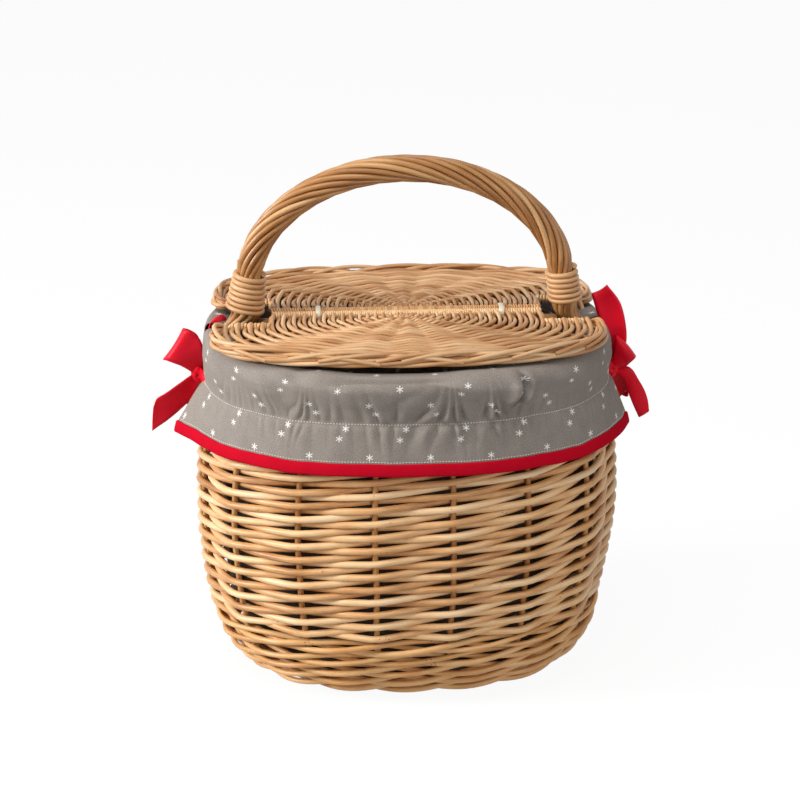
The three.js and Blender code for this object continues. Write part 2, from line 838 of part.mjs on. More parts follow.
// The lid's plate, with the ties' slots in its straight edge. On the back lid, which is the front
// one turned round, mirror is -1 and the slots change sides.
function plateOutline(mirror) {
  const curve = lidCurve(lidBorderWidth + seatGap);
  const sideX = lidHalfLength - lidBorderWidth - seatGap;
  const slotHalf = tieWidth / 2 + runningGap * 2;
  const slotDepth = edgeY + runningGap * 2 + tieThickness + tieSlotClear;
  const places = Object.values(tiePlaceShares)
    .map((share) => share * notchX * mirror)
    .sort((a, b) => a - b);
  const slots = places.flatMap((x) => [
    new THREE.Vector2(x - slotHalf, -edgeY),
    new THREE.Vector2(x - slotHalf, -slotDepth),
    new THREE.Vector2(x + slotHalf, -slotDepth),
    new THREE.Vector2(x + slotHalf, -edgeY),
  ]);
  return [
    new THREE.Vector2(-sideX, -lidNotchDepth),
    new THREE.Vector2(-notchX, -lidNotchDepth),
    new THREE.Vector2(-notchX, -edgeY),
    ...slots,
    new THREE.Vector2(notchX, -edgeY),
    new THREE.Vector2(notchX, -lidNotchDepth),
    new THREE.Vector2(sideX, -lidNotchDepth),
    ...curve,
  ];
}

// From the middle of the straight edge to the inside of the border, at an angle.
function lidReach(angle) {
  const halfLength = lidHalfLength - lidBorderWidth;
  const reach = lidHalfDepth - lidCornerDepth - lidBorderWidth;
  let low = ribStart;
  let high = bodyLength;
  for (let i = 0; i < 40; i += 1) {
    const middle = (low + high) / 2;
    const x = middle * Math.cos(angle);
    const y = edgeY + middle * Math.sin(angle);
    const outside = y > lidCornerDepth
      ? (Math.abs(x) / halfLength) ** ovalPower + ((y - lidCornerDepth) / reach) ** ovalPower > 1
      : Math.abs(x) > halfLength;
    if (outside) {
      high = middle;
    } else {
      low = middle;
    }
  }
  return low;
}

// The rows of the lid's weave, as a solid whose top stands high where a rod goes over a rib and low
// where it goes under, and clear of the plate's top nearer the middle.
function fanRows() {
  const rays = [0, ...ribAnglesDeg, 180].map((degrees) => THREE.MathUtils.degToRad(degrees));
  const edgeReach = lidReach(0);
  const shares = [];
  for (let at = lidRowStart; at < lidRowEnd; at += lidRowPitch + (lidRowGain * at) / edgeReach) {
    shares.push(at / edgeReach);
  }
  const firstRow = shares.length - lidReliefRows;
  const clear = lidThickness + levelClear;
  const high = lidThickness - seatGap;
  const ring = (share, heightAt) => rays.map((angle, k) => new THREE.Vector3(
    lidReach(angle) * share * Math.cos(angle),
    -edgeY - lidReach(angle) * share * Math.sin(angle) + (k % (rays.length - 1) ? 0 : levelClear),
    heightAt(k),
  ));
  const rings = [ring(shares[firstRow - 1], () => clear)];
  for (let row = firstRow; row < shares.length; row += 1) {
    rings.push(ring(shares[row], (k) => ((row + k) % 2 ? high : high - lidRowHollow)));
  }
  rings.push(ring(1 + lidRowStart / edgeReach, () => high - lidRowHollow));
  const outer = rings[rings.length - 1];
  const count = rays.length;
  const middleTop = new THREE.Vector3(0, -edgeY + levelClear, clear);
  const middleLow = new THREE.Vector3(0, -edgeY + levelClear, -levelClear);
  const under = outer.map((point) => new THREE.Vector3(point.x, point.y, -levelClear));
  const points = [...rings.flat(), ...under, middleTop, middleLow];
  const at = (r, k) => r * count + k;
  const low = (k) => rings.length * count + k;
  const top = points.length - 2;
  const base = points.length - 1;
  const last = rings.length - 1;
  const triangles = [[base, at(last, 0), low(0)], [base, low(count - 1), at(last, count - 1)]];
  for (let k = 0; k < count - 1; k += 1) {
    triangles.push([top, at(0, k + 1), at(0, k)], [base, low(k), low(k + 1)]);
    triangles.push([at(last, k), at(last, k + 1), low(k + 1)], [at(last, k), low(k + 1), low(k)]);
    for (let r = 0; r < last; r += 1) {
      const [a, b, c, d] = [at(r, k), at(r, k + 1), at(r + 1, k + 1), at(r + 1, k)];
      const hollowFirst = rings[r][k].z < rings[r][k + 1].z;
      triangles.push(...(hollowFirst ? [[a, b, c], [a, c, d]] : [[a, b, d], [b, c, d]]));
    }
  }
  for (let r = -1; r < last; r += 1) {
    triangles.push([base, r < 0 ? top : at(r, 0), at(r + 1, 0)]);
    triangles.push([base, at(r + 1, count - 1), r < 0 ? top : at(r, count - 1)]);
  }
  return toSolid(closedGeometry(points, triangles));
}

function addLid(name, turn) {
  const lid = new THREE.Group();
  lid.rotation.z = turn;
  basket.add(lid);

  const rod = new THREE.CylinderGeometry(hingeRadius, hingeRadius, 2 * (notchX - seatGap), rodSides);
  const rodMesh = place(`${name}_hinge_rod`, rod, finishes.willow, lid);
  rodMesh.rotation.z = Math.PI / 2;
  rodMesh.position.set(0, -hingeOffset, hingeHeight);

  const outline = new THREE.Shape(plateOutline(Math.cos(turn)));
  const plate = new THREE.ExtrudeGeometry(outline, { depth: lidThickness, bevelEnabled: false });
  const woven = fromSolid(toSolid(plate).intersect(fanRows()));
  place(`${name}_weave`, woven, finishes.willow, lid).position.z = plateUnder;

  const border = new THREE.ExtrudeGeometry(new THREE.Shape(borderOutline()), {
    depth: lidBorderHeight,
    bevelEnabled: false,
  });
  place(`${name}_border`, border, finishes.paleWillow, lid).position.z = lidUnder;

  const ribRadius = ribDiameter / 2;
  ribAnglesDeg.forEach((degrees, k) => {
    const angle = THREE.MathUtils.degToRad(degrees);
    const end = lidReach(angle) - ribDiameter / 2;
    const rib = new THREE.CylinderGeometry(ribRadius, ribRadius, end - ribStart, ribSides);
    const mesh = place(`${name}_rib_${k + 1}`, rib, finishes.willow, lid);
    const middle = (ribStart + end) / 2;
    mesh.rotation.z = Math.PI / 2 - angle;
    mesh.position.set(
      middle * Math.cos(angle),
      -edgeY - middle * Math.sin(angle),
      plateUnder - seatGap - ribRadius,
    );
  });
}

// Liner: the bag inside, and a cuff turned down over the rim at the front and the back
function addLiner() {
  const heights = [baseTop + seatGap, ...linerLevelShares.map((share) => share * wallHeight)];
  const top = wallHeight + linerTopRise;
  const outerInset = [linerEndInset, linerSideInset];
  const innerInset = [linerEndInset + clothThickness, linerSideInset + clothThickness];
  const outer = heights.map((height) => ovalLoop(height, ...outerInset));
  const topLoop = lifted(ovalLoop(wallHeight, ...outerInset), top);
  const inner = heights.map((height) => ovalLoop(height, ...innerInset));
  const topInner = lifted(ovalLoop(wallHeight, ...innerInset), top);
  inner[0] = lifted(inner[0], heights[0] + clothThickness);
  place('liner_bag', skin([...outer, topLoop, topInner, ...inner.reverse()]), finishes.cotton);
}

// A level of the cuff that hangs outside the wall: how far below the rim, and how far off the wall.
function hangingRow(drop, standOff, fold) {
  const height = rimTop - drop;
  const [halfLength, halfDepth] = wallSize(Math.min(height, wallHeight));
  return { height, halfLength: halfLength + standOff, halfDepth: halfDepth + standOff, fold };
}

// A level of the cuff over the rim: how far outside or inside the rim's outer face.
function rimRow(height, standOff, fold) {
  return { height, halfLength: rimHalfLength + standOff, halfDepth: rimHalfDepth + standOff, fold };
}

const casingRow = hangingRow(casingDrop, casingStandOff, foldShares.casing);

// Each row runs from the liner's top edge over the rim and down to the hem.
function cuffRows() {
  const overRim = rimTop + seatGap + clothThickness;
  const tuckDrop = (puffDrop + casingDrop) / 2;
  const tuckStandOff = (puffWidth + casingStandOff) / 2 + clothThickness;
  return [
    {
      height: wallHeight + linerTopRise + seatGap + clothThickness / 2,
      halfLength: rimHalfLength - linerEndInset,
      halfDepth: rimHalfDepth - linerSideInset,
      fold: 0,
    },
    rimRow(overRim, -rimThickness - clothThickness * 2, 0),
    rimRow(overRim + clothThickness, -rimThickness / 2, 0),
    rimRow(overRim - rimRound / 2, puffWidth * puffShares.shoulder, foldShares.shoulder),
    rimRow(rimTop - puffDrop * puffShares.browDrop, puffWidth * puffShares.brow, foldShares.brow),
    hangingRow(puffDrop, puffWidth, foldShares.puff),
    hangingRow(tuckDrop, tuckStandOff, foldShares.tuck),
    casingRow,
    hangingRow(skirtDrop, skirtStandOff, foldShares.skirt),
    hangingRow(hemTopDrop - seatGap, hemStandOff, foldShares.hem),
  ];
}

// A point of the front cuff: u runs from -1 at the left slit to 1 at the right one.
function cuffPoint(row, u, extraOut = 0) {
  const down = Math.min(Math.max((rimTop - row.height) / hemTopDrop, 0), 1);
  const slit = cuffTopSlit + (cuffHemSlit - cuffTopSlit) * down;
  const slitAngle = Math.asin((slit / row.halfDepth) ** (ovalPower / 2));
  const angle = -Math.PI / 2 + u * (Math.PI / 2 - slitAngle);
  const flare = cuffCornerFlare * down * Math.abs(u) ** 4;
  const fold = foldDepth * row.fold * (0.5 + 0.5 * Math.cos(u * foldCount * Math.PI));
  const out = fold + flare + extraOut;
  return ovalPoint(angle, row.halfLength + out, row.halfDepth + out, row.height);
}

function evenUs() {
  const us = [];
  for (let i = 0; i <= cuffSteps; i += 1) {
    us.push(-1 + (2 * i) / cuffSteps);
  }
  return us;
}

function addCuff(name, turn) {
  const side = new THREE.Group();
  side.rotation.z = turn;
  basket.add(side);
  const rows = cuffRows();
  const grid = evenUs().map((u) => rows.map((row) => cuffPoint(row, u)));
  const inward = grid.map((row) => row.slice().reverse());
  place(`cuff_${name}`, thickSheet(inward, clothThickness), finishes.cotton, side);

  const top = rows[rows.length - 1];
  const hemLoops = evenUs().map((u) => {
    const upper = { ...top, height: top.height - seatGap - clothThickness / 2 };
    const [halfLength, halfDepth] = wallSize(upper.height - hemHeight);
    const lower = {
      ...top,
      height: upper.height - hemHeight,
      halfLength: halfLength + hemStandOff,
      halfDepth: halfDepth + hemStandOff,
    };
    const back = -hemThickness;
    return [cuffPoint(upper, u), cuffPoint(lower, u), cuffPoint(lower, u, back), cuffPoint(upper, u, back)];
  });
  place(`hem_${name}`, skin(hemLoops), finishes.ribbon, side);
}

// Bows at the slits of the cuffs
function ribbonStrip(points, across, width) {
  return points.map((point) => stripShares.map(
    (share) => point.clone().addScaledVector(across, share * width),
  ));
}

// A loop of ribbon that leaves the knot along a direction and comes back to it, with its width along across.
function loopSolid(centre, direction, across, length, fatness) {
  const bulge = new THREE.Vector3().crossVectors(direction, across).normalize();
  const points = [];
  for (let i = 0; i <= bowLoopSteps; i += 1) {
    const turn = (i / bowLoopSteps) * 2 * Math.PI;
    const forward = (length * (1 - Math.cos(turn))) / 2;
    const sideways = (fatness / 2) * Math.sin(turn) * Math.sin(turn / 2)
      + ribbonThickness * Math.cos(turn / 2);
    points.push(centre.clone().addScaledVector(direction, forward).addScaledVector(bulge, sideways));
  }
  const strip = points.map((point, i) => {
    const open = Math.sin((i / bowLoopSteps) * Math.PI);
    const width = ribbonWidth * (bowNeckShare + (1 - bowNeckShare) * open);
    return stripShares.map((share) => point.clone().addScaledVector(across, share * width));
  });
  return toSolid(thickSheet(strip, ribbonThickness));
}

function tailSolid(centre, direction, across, length) {
  const bulge = new THREE.Vector3().crossVectors(direction, across).normalize();
  const points = [];
  for (let i = 0; i <= bowTailSteps; i += 1) {
    const share = i / bowTailSteps;
    const sway = length * bowTailSwayShare * Math.sin(share * Math.PI);
    points.push(centre.clone().addScaledVector(direction, share * length).addScaledVector(bulge, sway));
  }
  return toSolid(thickSheet(ribbonStrip(points, across, ribbonWidth * bowTailWidthShare), ribbonThickness));
}

// The gathered ribbon that runs from the knot to the open end of the casing in a cuff.
function leadSolid(centre, mirror, front) {
  const edge = cuffPoint(casingRow, mirror, -clothThickness / 2);
  edge.y *= front ? 1 : -1;
  const slant = (cuffHemSlit - cuffTopSlit) / hemTopDrop;
  const direction = new THREE.Vector3().subVectors(edge, centre);
  const length = direction.length() - seatGap - (leadWidth / 2) * slant - ribbonThickness / 2;
  direction.normalize();
  const points = [0, 1].map((share) => centre.clone().addScaledVector(direction, share * length));
  return toSolid(thickSheet(ribbonStrip(points, new THREE.Vector3(0, 0, 1), leadWidth), ribbonThickness));
}

function addBow(name, mirror, build) {
  const reach = casingRow.halfLength + foldDepth + seatGap + knotDepth / 2;
  const centre = new THREE.Vector3(mirror * reach, 0, rimTop - knotDrop);
  const knot = new THREE.SphereGeometry(1, knotRoundSteps, knotUpSteps);
  knot.scale(knotDepth / 2, knotWidth / 2, knotHeight / 2);
  knot.translate(centre.x, centre.y, centre.z);
  let bow = toSolid(knot);
  for (const { towards, flat, sizeShare, tail } of build) {
    const direction = new THREE.Vector3(towards[0] * mirror, towards[1], towards[2]).normalize();
    const side = new THREE.Vector3(flat[0] * mirror, flat[1], flat[2]);
    const across = side.addScaledVector(direction, -side.dot(direction)).normalize();
    const start = centre.clone().addScaledVector(direction, -knotDepth * bowStartShare);
    bow = bow.add(tail
      ? tailSolid(start, direction, across, sizeShare * bowTailLength)
      : loopSolid(start, direction, across, sizeShare * bowLoopLength, bowLoopFatness));
  }
  for (const front of [true, false]) {
    bow = bow.add(leadSolid(centre, mirror, front));
  }
  place(name, fromSolid(bow), finishes.ribbon);
}

// For each loop or tail: where it points and how its ribbon lies, with x outwards from the basket.
const leftBowPieces = [
  { towards: [0.5, -0.25, 0.8], flat: [0.5, -0.7, -0.4], sizeShare: 1 },
  { towards: [0.4, 0.6, 0.7], flat: [0.2, -0.6, 0.5], sizeShare: 0.85 },
  { towards: [0.62, -0.25, -0.75], flat: [0.5, 0.2, 0.5], sizeShare: 1, tail: true },
  { towards: [0.6, 0.4, -0.7], flat: [0.2, -0.6, -0.2], sizeShare: 0.7, tail: true },
];
const rightBowPieces = [
  { towards: [0.4, 0.35, 0.85], flat: [0.3, -0.8, 0.3], sizeShare: 1.2 },
  { towards: [0.45, -0.5, 0.45], flat: [0.5, 0.3, -0.5], sizeShare: 0.6 },
  { towards: [0.55, -0.3, -0.8], flat: [0.5, 0.2, 0.4], sizeShare: 1, tail: true },
  { towards: [0.6, 0.4, -0.8], flat: [0.2, -0.6, -0.2], sizeShare: 0.6, tail: true },
];

addBase();
addWall();
addHandle();
addBar();
addLid('front_lid', 0);
addLid('back_lid', Math.PI);
addLiner();
addCuff('front', 0);
addCuff('back', Math.PI);
addBow('left_bow', -1, leftBowPieces);
addBow('right_bow', 1, rightBowPieces);

export default basket;
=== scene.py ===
"""The looks of an oval willow picnic basket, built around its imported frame.

Metres, +Z up, X along the line where the lids meet, the front towards -Y. Rods are paths that one
Geometry Nodes tree turns into willow; cloth is made of curved sheets.
"""

import math

import bmesh
import bpy
import numpy as np
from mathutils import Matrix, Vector


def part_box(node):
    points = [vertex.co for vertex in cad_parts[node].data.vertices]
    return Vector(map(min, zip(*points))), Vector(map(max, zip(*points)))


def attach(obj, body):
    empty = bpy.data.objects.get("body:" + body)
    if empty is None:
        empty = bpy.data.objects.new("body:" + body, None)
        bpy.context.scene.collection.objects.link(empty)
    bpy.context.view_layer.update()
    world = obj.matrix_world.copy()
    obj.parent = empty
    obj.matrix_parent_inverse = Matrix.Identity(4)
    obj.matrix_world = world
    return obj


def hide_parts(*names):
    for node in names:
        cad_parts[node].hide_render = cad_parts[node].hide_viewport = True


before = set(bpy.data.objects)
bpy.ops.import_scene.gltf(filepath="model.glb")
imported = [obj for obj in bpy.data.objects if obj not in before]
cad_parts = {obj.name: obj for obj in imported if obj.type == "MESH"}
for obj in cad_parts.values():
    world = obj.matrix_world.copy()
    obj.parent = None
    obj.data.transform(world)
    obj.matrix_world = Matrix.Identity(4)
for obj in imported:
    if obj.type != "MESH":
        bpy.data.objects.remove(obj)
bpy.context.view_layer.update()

# Sizes of the basket, the same as the solids have
BODY_LENGTH = 0.386
BODY_DEPTH = 0.308
WALL_HEIGHT = 0.302
OVAL_POWER = 2.4
STAKES = 16
WALE_TOP = 0.069
# Height and reach of the wall, as shares of its height and of its half length or depth
WALL_SHARES = (
    (0.013, 0.725),
    (0.04, 0.79),
    (0.1, 0.872),
    (0.172, 0.926),
    (0.265, 0.963),
    (0.371, 0.987),
    (0.5, 1.0),
    (0.66, 0.996),
    (0.795, 0.972),
    (0.927, 0.935),
    (1.0, 0.92),
)
RIM_LENGTH = BODY_LENGTH / 2 * WALL_SHARES[-1][1]
RIM_DEPTH = BODY_DEPTH / 2 * WALL_SHARES[-1][1]
HINGE_HEIGHT = 0.3275
HINGE_OFFSET = 0.0052
HANDLE_TOP = 0.473
ROPE_RADIUS = 0.0122

# The right side leans in low down
RIGHT_PULL = 0.004

# Sizes of the weave
WEAVER_RADIUS = 0.0031
STAKE_RADIUS = 0.0028
STAKE_INSET = 0.0079
WEAVE_SWING = 0.0048
ROW_PITCH = 0.0063
WALE_ROUNDS = 5.25
WALE_RADIUS = 0.0031

# The print: how far apart its pairs of stars stand, and how far each star of a pair is from its
# middle
STAR_COLUMN = 0.051
STAR_ROW = 0.0255
STAR_RISE = 0.0047
STAR_LEAN = 0.0026

rng = np.random.default_rng(11)


# ---- Nodes and materials


def colour(code):
    """An sRGB hex value as linear RGBA."""
    parts = [int(code[i : i + 2], 16) / 255 for i in (1, 3, 5)]
    linear = [c / 12.92 if c <= 0.04045 else ((c + 0.055) / 1.055) ** 2.4 for c in parts]
    return (*linear, 1.0)


def add_node(tree, kind, settings=None, inputs=None):
    """Adds a node, sets its properties, and gives its inputs a value or another node's output."""
    node = tree.nodes.new(kind)
    for key, value in (settings or {}).items():
        setattr(node, key, value)
    for key, value in (inputs or {}).items():
        if isinstance(value, bpy.types.NodeSocket):
            tree.links.new(value, node.inputs[key])
        else:
            node.inputs[key].default_value = value
    return node


def ramp(tree, value, stops):
    """A colour ramp through (place, hex) stops."""
    node = add_node(tree, "ShaderNodeValToRGB", inputs={"Fac": value})
    elements = node.color_ramp.elements
    while len(elements) < len(stops):
        elements.new(0.5)
    for element, (place, code) in zip(elements, stops):
        element.position = place
        element.color = colour(code)
    return node.outputs["Color"]


def new_finish(name):
    material = bpy.data.materials.new(name)
    material.use_nodes = True
    tree = material.node_tree
    tree.nodes.clear()
    shader = add_node(tree, "ShaderNodeBsdfPrincipled")
    output = add_node(tree, "ShaderNodeOutputMaterial", inputs={"Surface": shader.outputs["BSDF"]})
    output.location = (300, 0)
    return material, tree, shader


def willow_finish(name, stops, roughness, fleck):
    """Buff willow: peeled rods that were boiled in their bark, so tan with a waxy low sheen.

    Each rod has its own tone, fine grain along it, pale and brown stretches, and the dark pin
    marks of its buds. Grain is drawn about 0.7 mm wide, coarser than real, so that it shows.
    """
    material, tree, shader = new_finish(name)
    rod = add_node(tree, "ShaderNodeAttribute", {"attribute_name": "rod"}).outputs["Fac"]
    along = add_node(tree, "ShaderNodeAttribute", {"attribute_name": "along"}).outputs["Fac"]
    section = add_node(tree, "ShaderNodeAttribute", {"attribute_name": "section"}).outputs["Vector"]
    own_place = add_node(
        tree, "ShaderNodeMath", {"operation": "MULTIPLY_ADD"}, {0: rod, 1: 7.0, 2: along}
    ).outputs["Value"]
    stretch = add_node(tree, "ShaderNodeCombineXYZ", inputs={"Z": own_place})
    around = add_node(
        tree,
        "ShaderNodeVectorMath",
        {"operation": "MULTIPLY"},
        {0: section, 1: (STAKE_RADIUS, STAKE_RADIUS, 0.0)},
    )
    place = add_node(
        tree,
        "ShaderNodeVectorMath",
        {"operation": "ADD"},
        {0: stretch.outputs["Vector"], 1: around.outputs["Vector"]},
    ).outputs["Vector"]
    tone = add_node(
        tree, "ShaderNodeTexNoise", inputs={"Vector": place, "Scale": 16.0, "Detail": 2.0}
    )
    long_place = add_node(
        tree, "ShaderNodeVectorMath", {"operation": "MULTIPLY"}, {0: place, 1: (1.0, 1.0, 0.06)}
    ).outputs["Vector"]
    grain = add_node(
        tree, "ShaderNodeTexNoise", inputs={"Vector": long_place, "Scale": 1400.0, "Detail": 2.0}
    )
    own_tone = add_node(
        tree, "ShaderNodeMath", {"operation": "MULTIPLY_ADD"}, {0: rod, 1: 0.3, 2: -0.15}
    ).outputs["Value"]
    mixed = add_node(
        tree,
        "ShaderNodeMath",
        {"operation": "MULTIPLY_ADD"},
        {0: grain.outputs["Fac"], 1: 0.34, 2: own_tone},
    ).outputs["Value"]
    mixed = add_node(
        tree,
        "ShaderNodeMath",
        {"operation": "MULTIPLY_ADD"},
        {0: tone.outputs["Fac"], 1: 0.72, 2: mixed},
    ).outputs["Value"]
    wood = ramp(tree, mixed, stops)
    marks = add_node(
        tree, "ShaderNodeTexVoronoi", {"feature": "F1"}, {"Vector": place, "Scale": 330.0}
    )
    mark = add_node(
        tree,
        "ShaderNodeMapRange",
        inputs={
            "Value": marks.outputs["Distance"],
            "From Min": 0.16,
            "From Max": 0.24,
            "To Min": 1.0,
            "To Max": 0.0,
        },
    ).outputs["Result"]
    where = add_node(
        tree, "ShaderNodeTexNoise", inputs={"Vector": place, "Scale": 42.0, "Detail": 1.0}
    )
    clustered = add_node(
        tree,
        "ShaderNodeMapRange",
        inputs={
            "Value": where.outputs["Fac"],
            "From Min": 0.6,
            "From Max": 0.68,
            "To Min": 0.0,
            "To Max": fleck,
        },
    ).outputs["Result"]
    marked = add_node(
        tree, "ShaderNodeMath", {"operation": "MULTIPLY"}, {0: mark, 1: clustered}
    ).outputs["Value"]
    coloured = add_node(
        tree,
        "ShaderNodeMix",
        {"data_type": "RGBA"},
        {"Factor": marked, 6: wood, 7: colour("#5B3515")},
    ).outputs[2]
    bump = add_node(
        tree,
        "ShaderNodeBump",
        inputs={"Strength": 0.25, "Distance": 0.0004, "Height": grain.outputs["Fac"]},
    )
    tree.links.new(coloured, shader.inputs["Base Color"])
    tree.links.new(bump.outputs["Normal"], shader.inputs["Normal"])
    shader.inputs["Roughness"].default_value = roughness
    return material


def star_group():
    """A group that is 1 inside a six armed star about a point, and 0 outside it."""
    tree = bpy.data.node_groups.new("six armed star", "ShaderNodeTree")
    for name in ("X", "Y"):
        tree.interface.new_socket(name, in_out="INPUT", socket_type="NodeSocketFloat")
    tree.interface.new_socket("Mask", in_out="OUTPUT", socket_type="NodeSocketFloat")
    given = add_node(tree, "NodeGroupInput")
    x, y = given.outputs["X"], given.outputs["Y"]
    arms = []
    for degrees in (0, 60, 120):
        angle = math.radians(degrees)
        part = add_node(
            tree, "ShaderNodeMath", {"operation": "MULTIPLY"}, {0: x, 1: math.cos(angle)}
        )
        off = add_node(
            tree,
            "ShaderNodeMath",
            {"operation": "MULTIPLY_ADD"},
            {0: y, 1: math.sin(angle), 2: part.outputs["Value"]},
        )
        arms.append(
            add_node(
                tree, "ShaderNodeMath", {"operation": "ABSOLUTE"}, {0: off.outputs["Value"]}
            ).outputs["Value"]
        )
    nearest = arms[0]
    for arm in arms[1:]:
        nearest = add_node(
            tree, "ShaderNodeMath", {"operation": "MINIMUM"}, {0: nearest, 1: arm}
        ).outputs["Value"]
    line = add_node(
        tree,
        "ShaderNodeMapRange",
        inputs={
            "Value": nearest,
            "From Min": 0.00026,
            "From Max": 0.0005,
            "To Min": 1.0,
            "To Max": 0.0,
        },
    ).outputs["Result"]
    spot = add_node(tree, "ShaderNodeCombineXYZ", inputs={"X": x, "Y": y})
    reach = add_node(
        tree, "ShaderNodeVectorMath", {"operation": "LENGTH"}, {0: spot.outputs["Vector"]}
    ).outputs["Value"]
    inside = add_node(
        tree,
        "ShaderNodeMapRange",
        inputs={
            "Value": reach,
            "From Min": 0.0028,
            "From Max": 0.0032,
            "To Min": 1.0,
            "To Max": 0.0,
        },
    ).outputs["Result"]
    mask = add_node(tree, "ShaderNodeMath", {"operation": "MULTIPLY"}, {0: line, 1: inside})
    add_node(tree, "NodeGroupOutput", inputs={"Mask": mask.outputs["Value"]})
    return tree


def cotton_finish(name, stops, stars, roughness=0.85, shine=0.25):
    """Plain weave cotton, matt, with a soft nap; satin ribbon is the same, smoother and shinier.

    Its threads are drawn 0.9 mm apart, about twice as coarse as real, so that the cloth shows as
    woven. The print is pairs of small stars on a staggered lattice that leans by turns.
    """
    material, tree, shader = new_finish(name)
    uv = add_node(tree, "ShaderNodeUVMap", {"uv_map": "cloth"}).outputs["UV"]
    threads = add_node(
        tree,
        "ShaderNodeTexNoise",
        {"noise_dimensions": "2D"},
        {"Vector": uv, "Scale": 900.0, "Detail": 2.0},
    )
    cloudy = add_node(
        tree,
        "ShaderNodeTexNoise",
        {"noise_dimensions": "2D"},
        {"Vector": uv, "Scale": 90.0, "Detail": 3.0},
    )
    blend = add_node(
        tree,
        "ShaderNodeMix",
        {"data_type": "FLOAT"},
        {"Factor": 0.2, 2: threads.outputs["Fac"], 3: cloudy.outputs["Fac"]},
    ).outputs[0]
    cloth = ramp(tree, blend, stops)
    if stars:
        apart = add_node(tree, "ShaderNodeSeparateXYZ", inputs={"Vector": uv})
        lattice = (
            ("row", "DIVIDE", apart.outputs["Y"], STAR_ROW, 0.0),
            ("row_number", "FLOOR", "row", 0.0, 0.0),
            ("half", "MULTIPLY", "row_number", 0.5, 0.0),
            ("odd", "FRACT", "half", 0.0, 0.0),
            ("shift", "MULTIPLY_ADD", "odd", STAR_COLUMN, apart.outputs["X"]),
            ("column", "DIVIDE", "shift", STAR_COLUMN, 0.0),
            ("in_column", "FRACT", "column", 0.0, 0.0),
            ("x", "MULTIPLY_ADD", "in_column", STAR_COLUMN, -STAR_COLUMN / 2),
            ("in_row", "FRACT", "row", 0.0, 0.0),
            ("y", "MULTIPLY_ADD", "in_row", STAR_ROW, -STAR_ROW / 2),
            ("lean", "MULTIPLY_ADD", "odd", 4 * STAR_LEAN, -STAR_LEAN),
            ("x_high", "SUBTRACT", "x", "lean", 0.0),
            ("x_low", "ADD", "x", "lean", 0.0),
            ("y_high", "SUBTRACT", "y", STAR_RISE, 0.0),
            ("y_low", "ADD", "y", STAR_RISE, 0.0),
        )
        found = {}
        for result, operation, *terms in lattice:
            inputs = {
                i: found[term] if isinstance(term, str) else term for i, term in enumerate(terms)
            }
            node = add_node(tree, "ShaderNodeMath", {"operation": operation}, inputs)
            found[result] = node.outputs["Value"]
        masks = []
        for level in ("high", "low"):
            star = add_node(
                tree,
                "ShaderNodeGroup",
                {"node_tree": star_group_tree},
                {"X": found[f"x_{level}"], "Y": found[f"y_{level}"]},
            )
            masks.append(star.outputs["Mask"])
        printed = add_node(
            tree, "ShaderNodeMath", {"operation": "MAXIMUM"}, {0: masks[0], 1: masks[1]}
        )
        cloth = add_node(
            tree,
            "ShaderNodeMix",
            {"data_type": "RGBA"},
            {"Factor": printed.outputs["Value"], 6: cloth, 7: colour("#F1EEE8")},
        ).outputs[2]
    bump = add_node(
        tree,
        "ShaderNodeBump",
        inputs={"Strength": 0.3, "Distance": 0.0003, "Height": threads.outputs["Fac"]},
    )
    tree.links.new(cloth, shader.inputs["Base Color"])
    tree.links.new(bump.outputs["Normal"], shader.inputs["Normal"])
    shader.inputs["Roughness"].default_value = roughness
    shader.inputs["Specular IOR Level"].default_value = shine
    return material


def plain_finish(name, code, roughness, grain_scale, strength):
    """A plain solid finish with a slight unevenness: thread, or nylon strap."""
    material, tree, shader = new_finish(name)
    place = add_node(tree, "ShaderNodeTexCoord").outputs["Object"]
    uneven = add_node(
        tree, "ShaderNodeTexNoise", inputs={"Vector": place, "Scale": grain_scale, "Detail": 2.0}
    )
    light = add_node(
        tree,
        "ShaderNodeMapRange",
        inputs={"Value": uneven.outputs["Fac"], "To Min": 0.88, "To Max": 1.08},
    ).outputs["Result"]
    toned = add_node(
        tree, "ShaderNodeVectorMath", {"operation": "SCALE"}, {0: colour(code)[:3], "Scale": light}
    ).outputs["Vector"]
    bump = add_node(
        tree,
        "ShaderNodeBump",
        inputs={"Strength": strength, "Distance": 0.0002, "Height": uneven.outputs["Fac"]},
    )
    tree.links.new(toned, shader.inputs["Base Color"])
    tree.links.new(bump.outputs["Normal"], shader.inputs["Normal"])
    shader.inputs["Roughness"].default_value = roughness
    return material


star_group_tree = star_group()
WALL_STOPS = ((0.2, "#94561F"), (0.42, "#D6A067"), (0.62, "#F0C793"), (0.88, "#FBE2BE"))
# A darker, more saturated copy of the wall's willow for the lower wale: painted shade near the ground, not a
# different willow
LOW_SHADE_STOPS = ((0.2, "#8A4A17"), (0.42, "#C98B4C"), (0.62, "#E2AF72"), (0.88, "#F2CE9C"))
PALE_STOPS = ((0.2, "#7A3E14"), (0.4, "#B98350"), (0.62, "#D6AA7A"), (0.88, "#E8CAA2"))
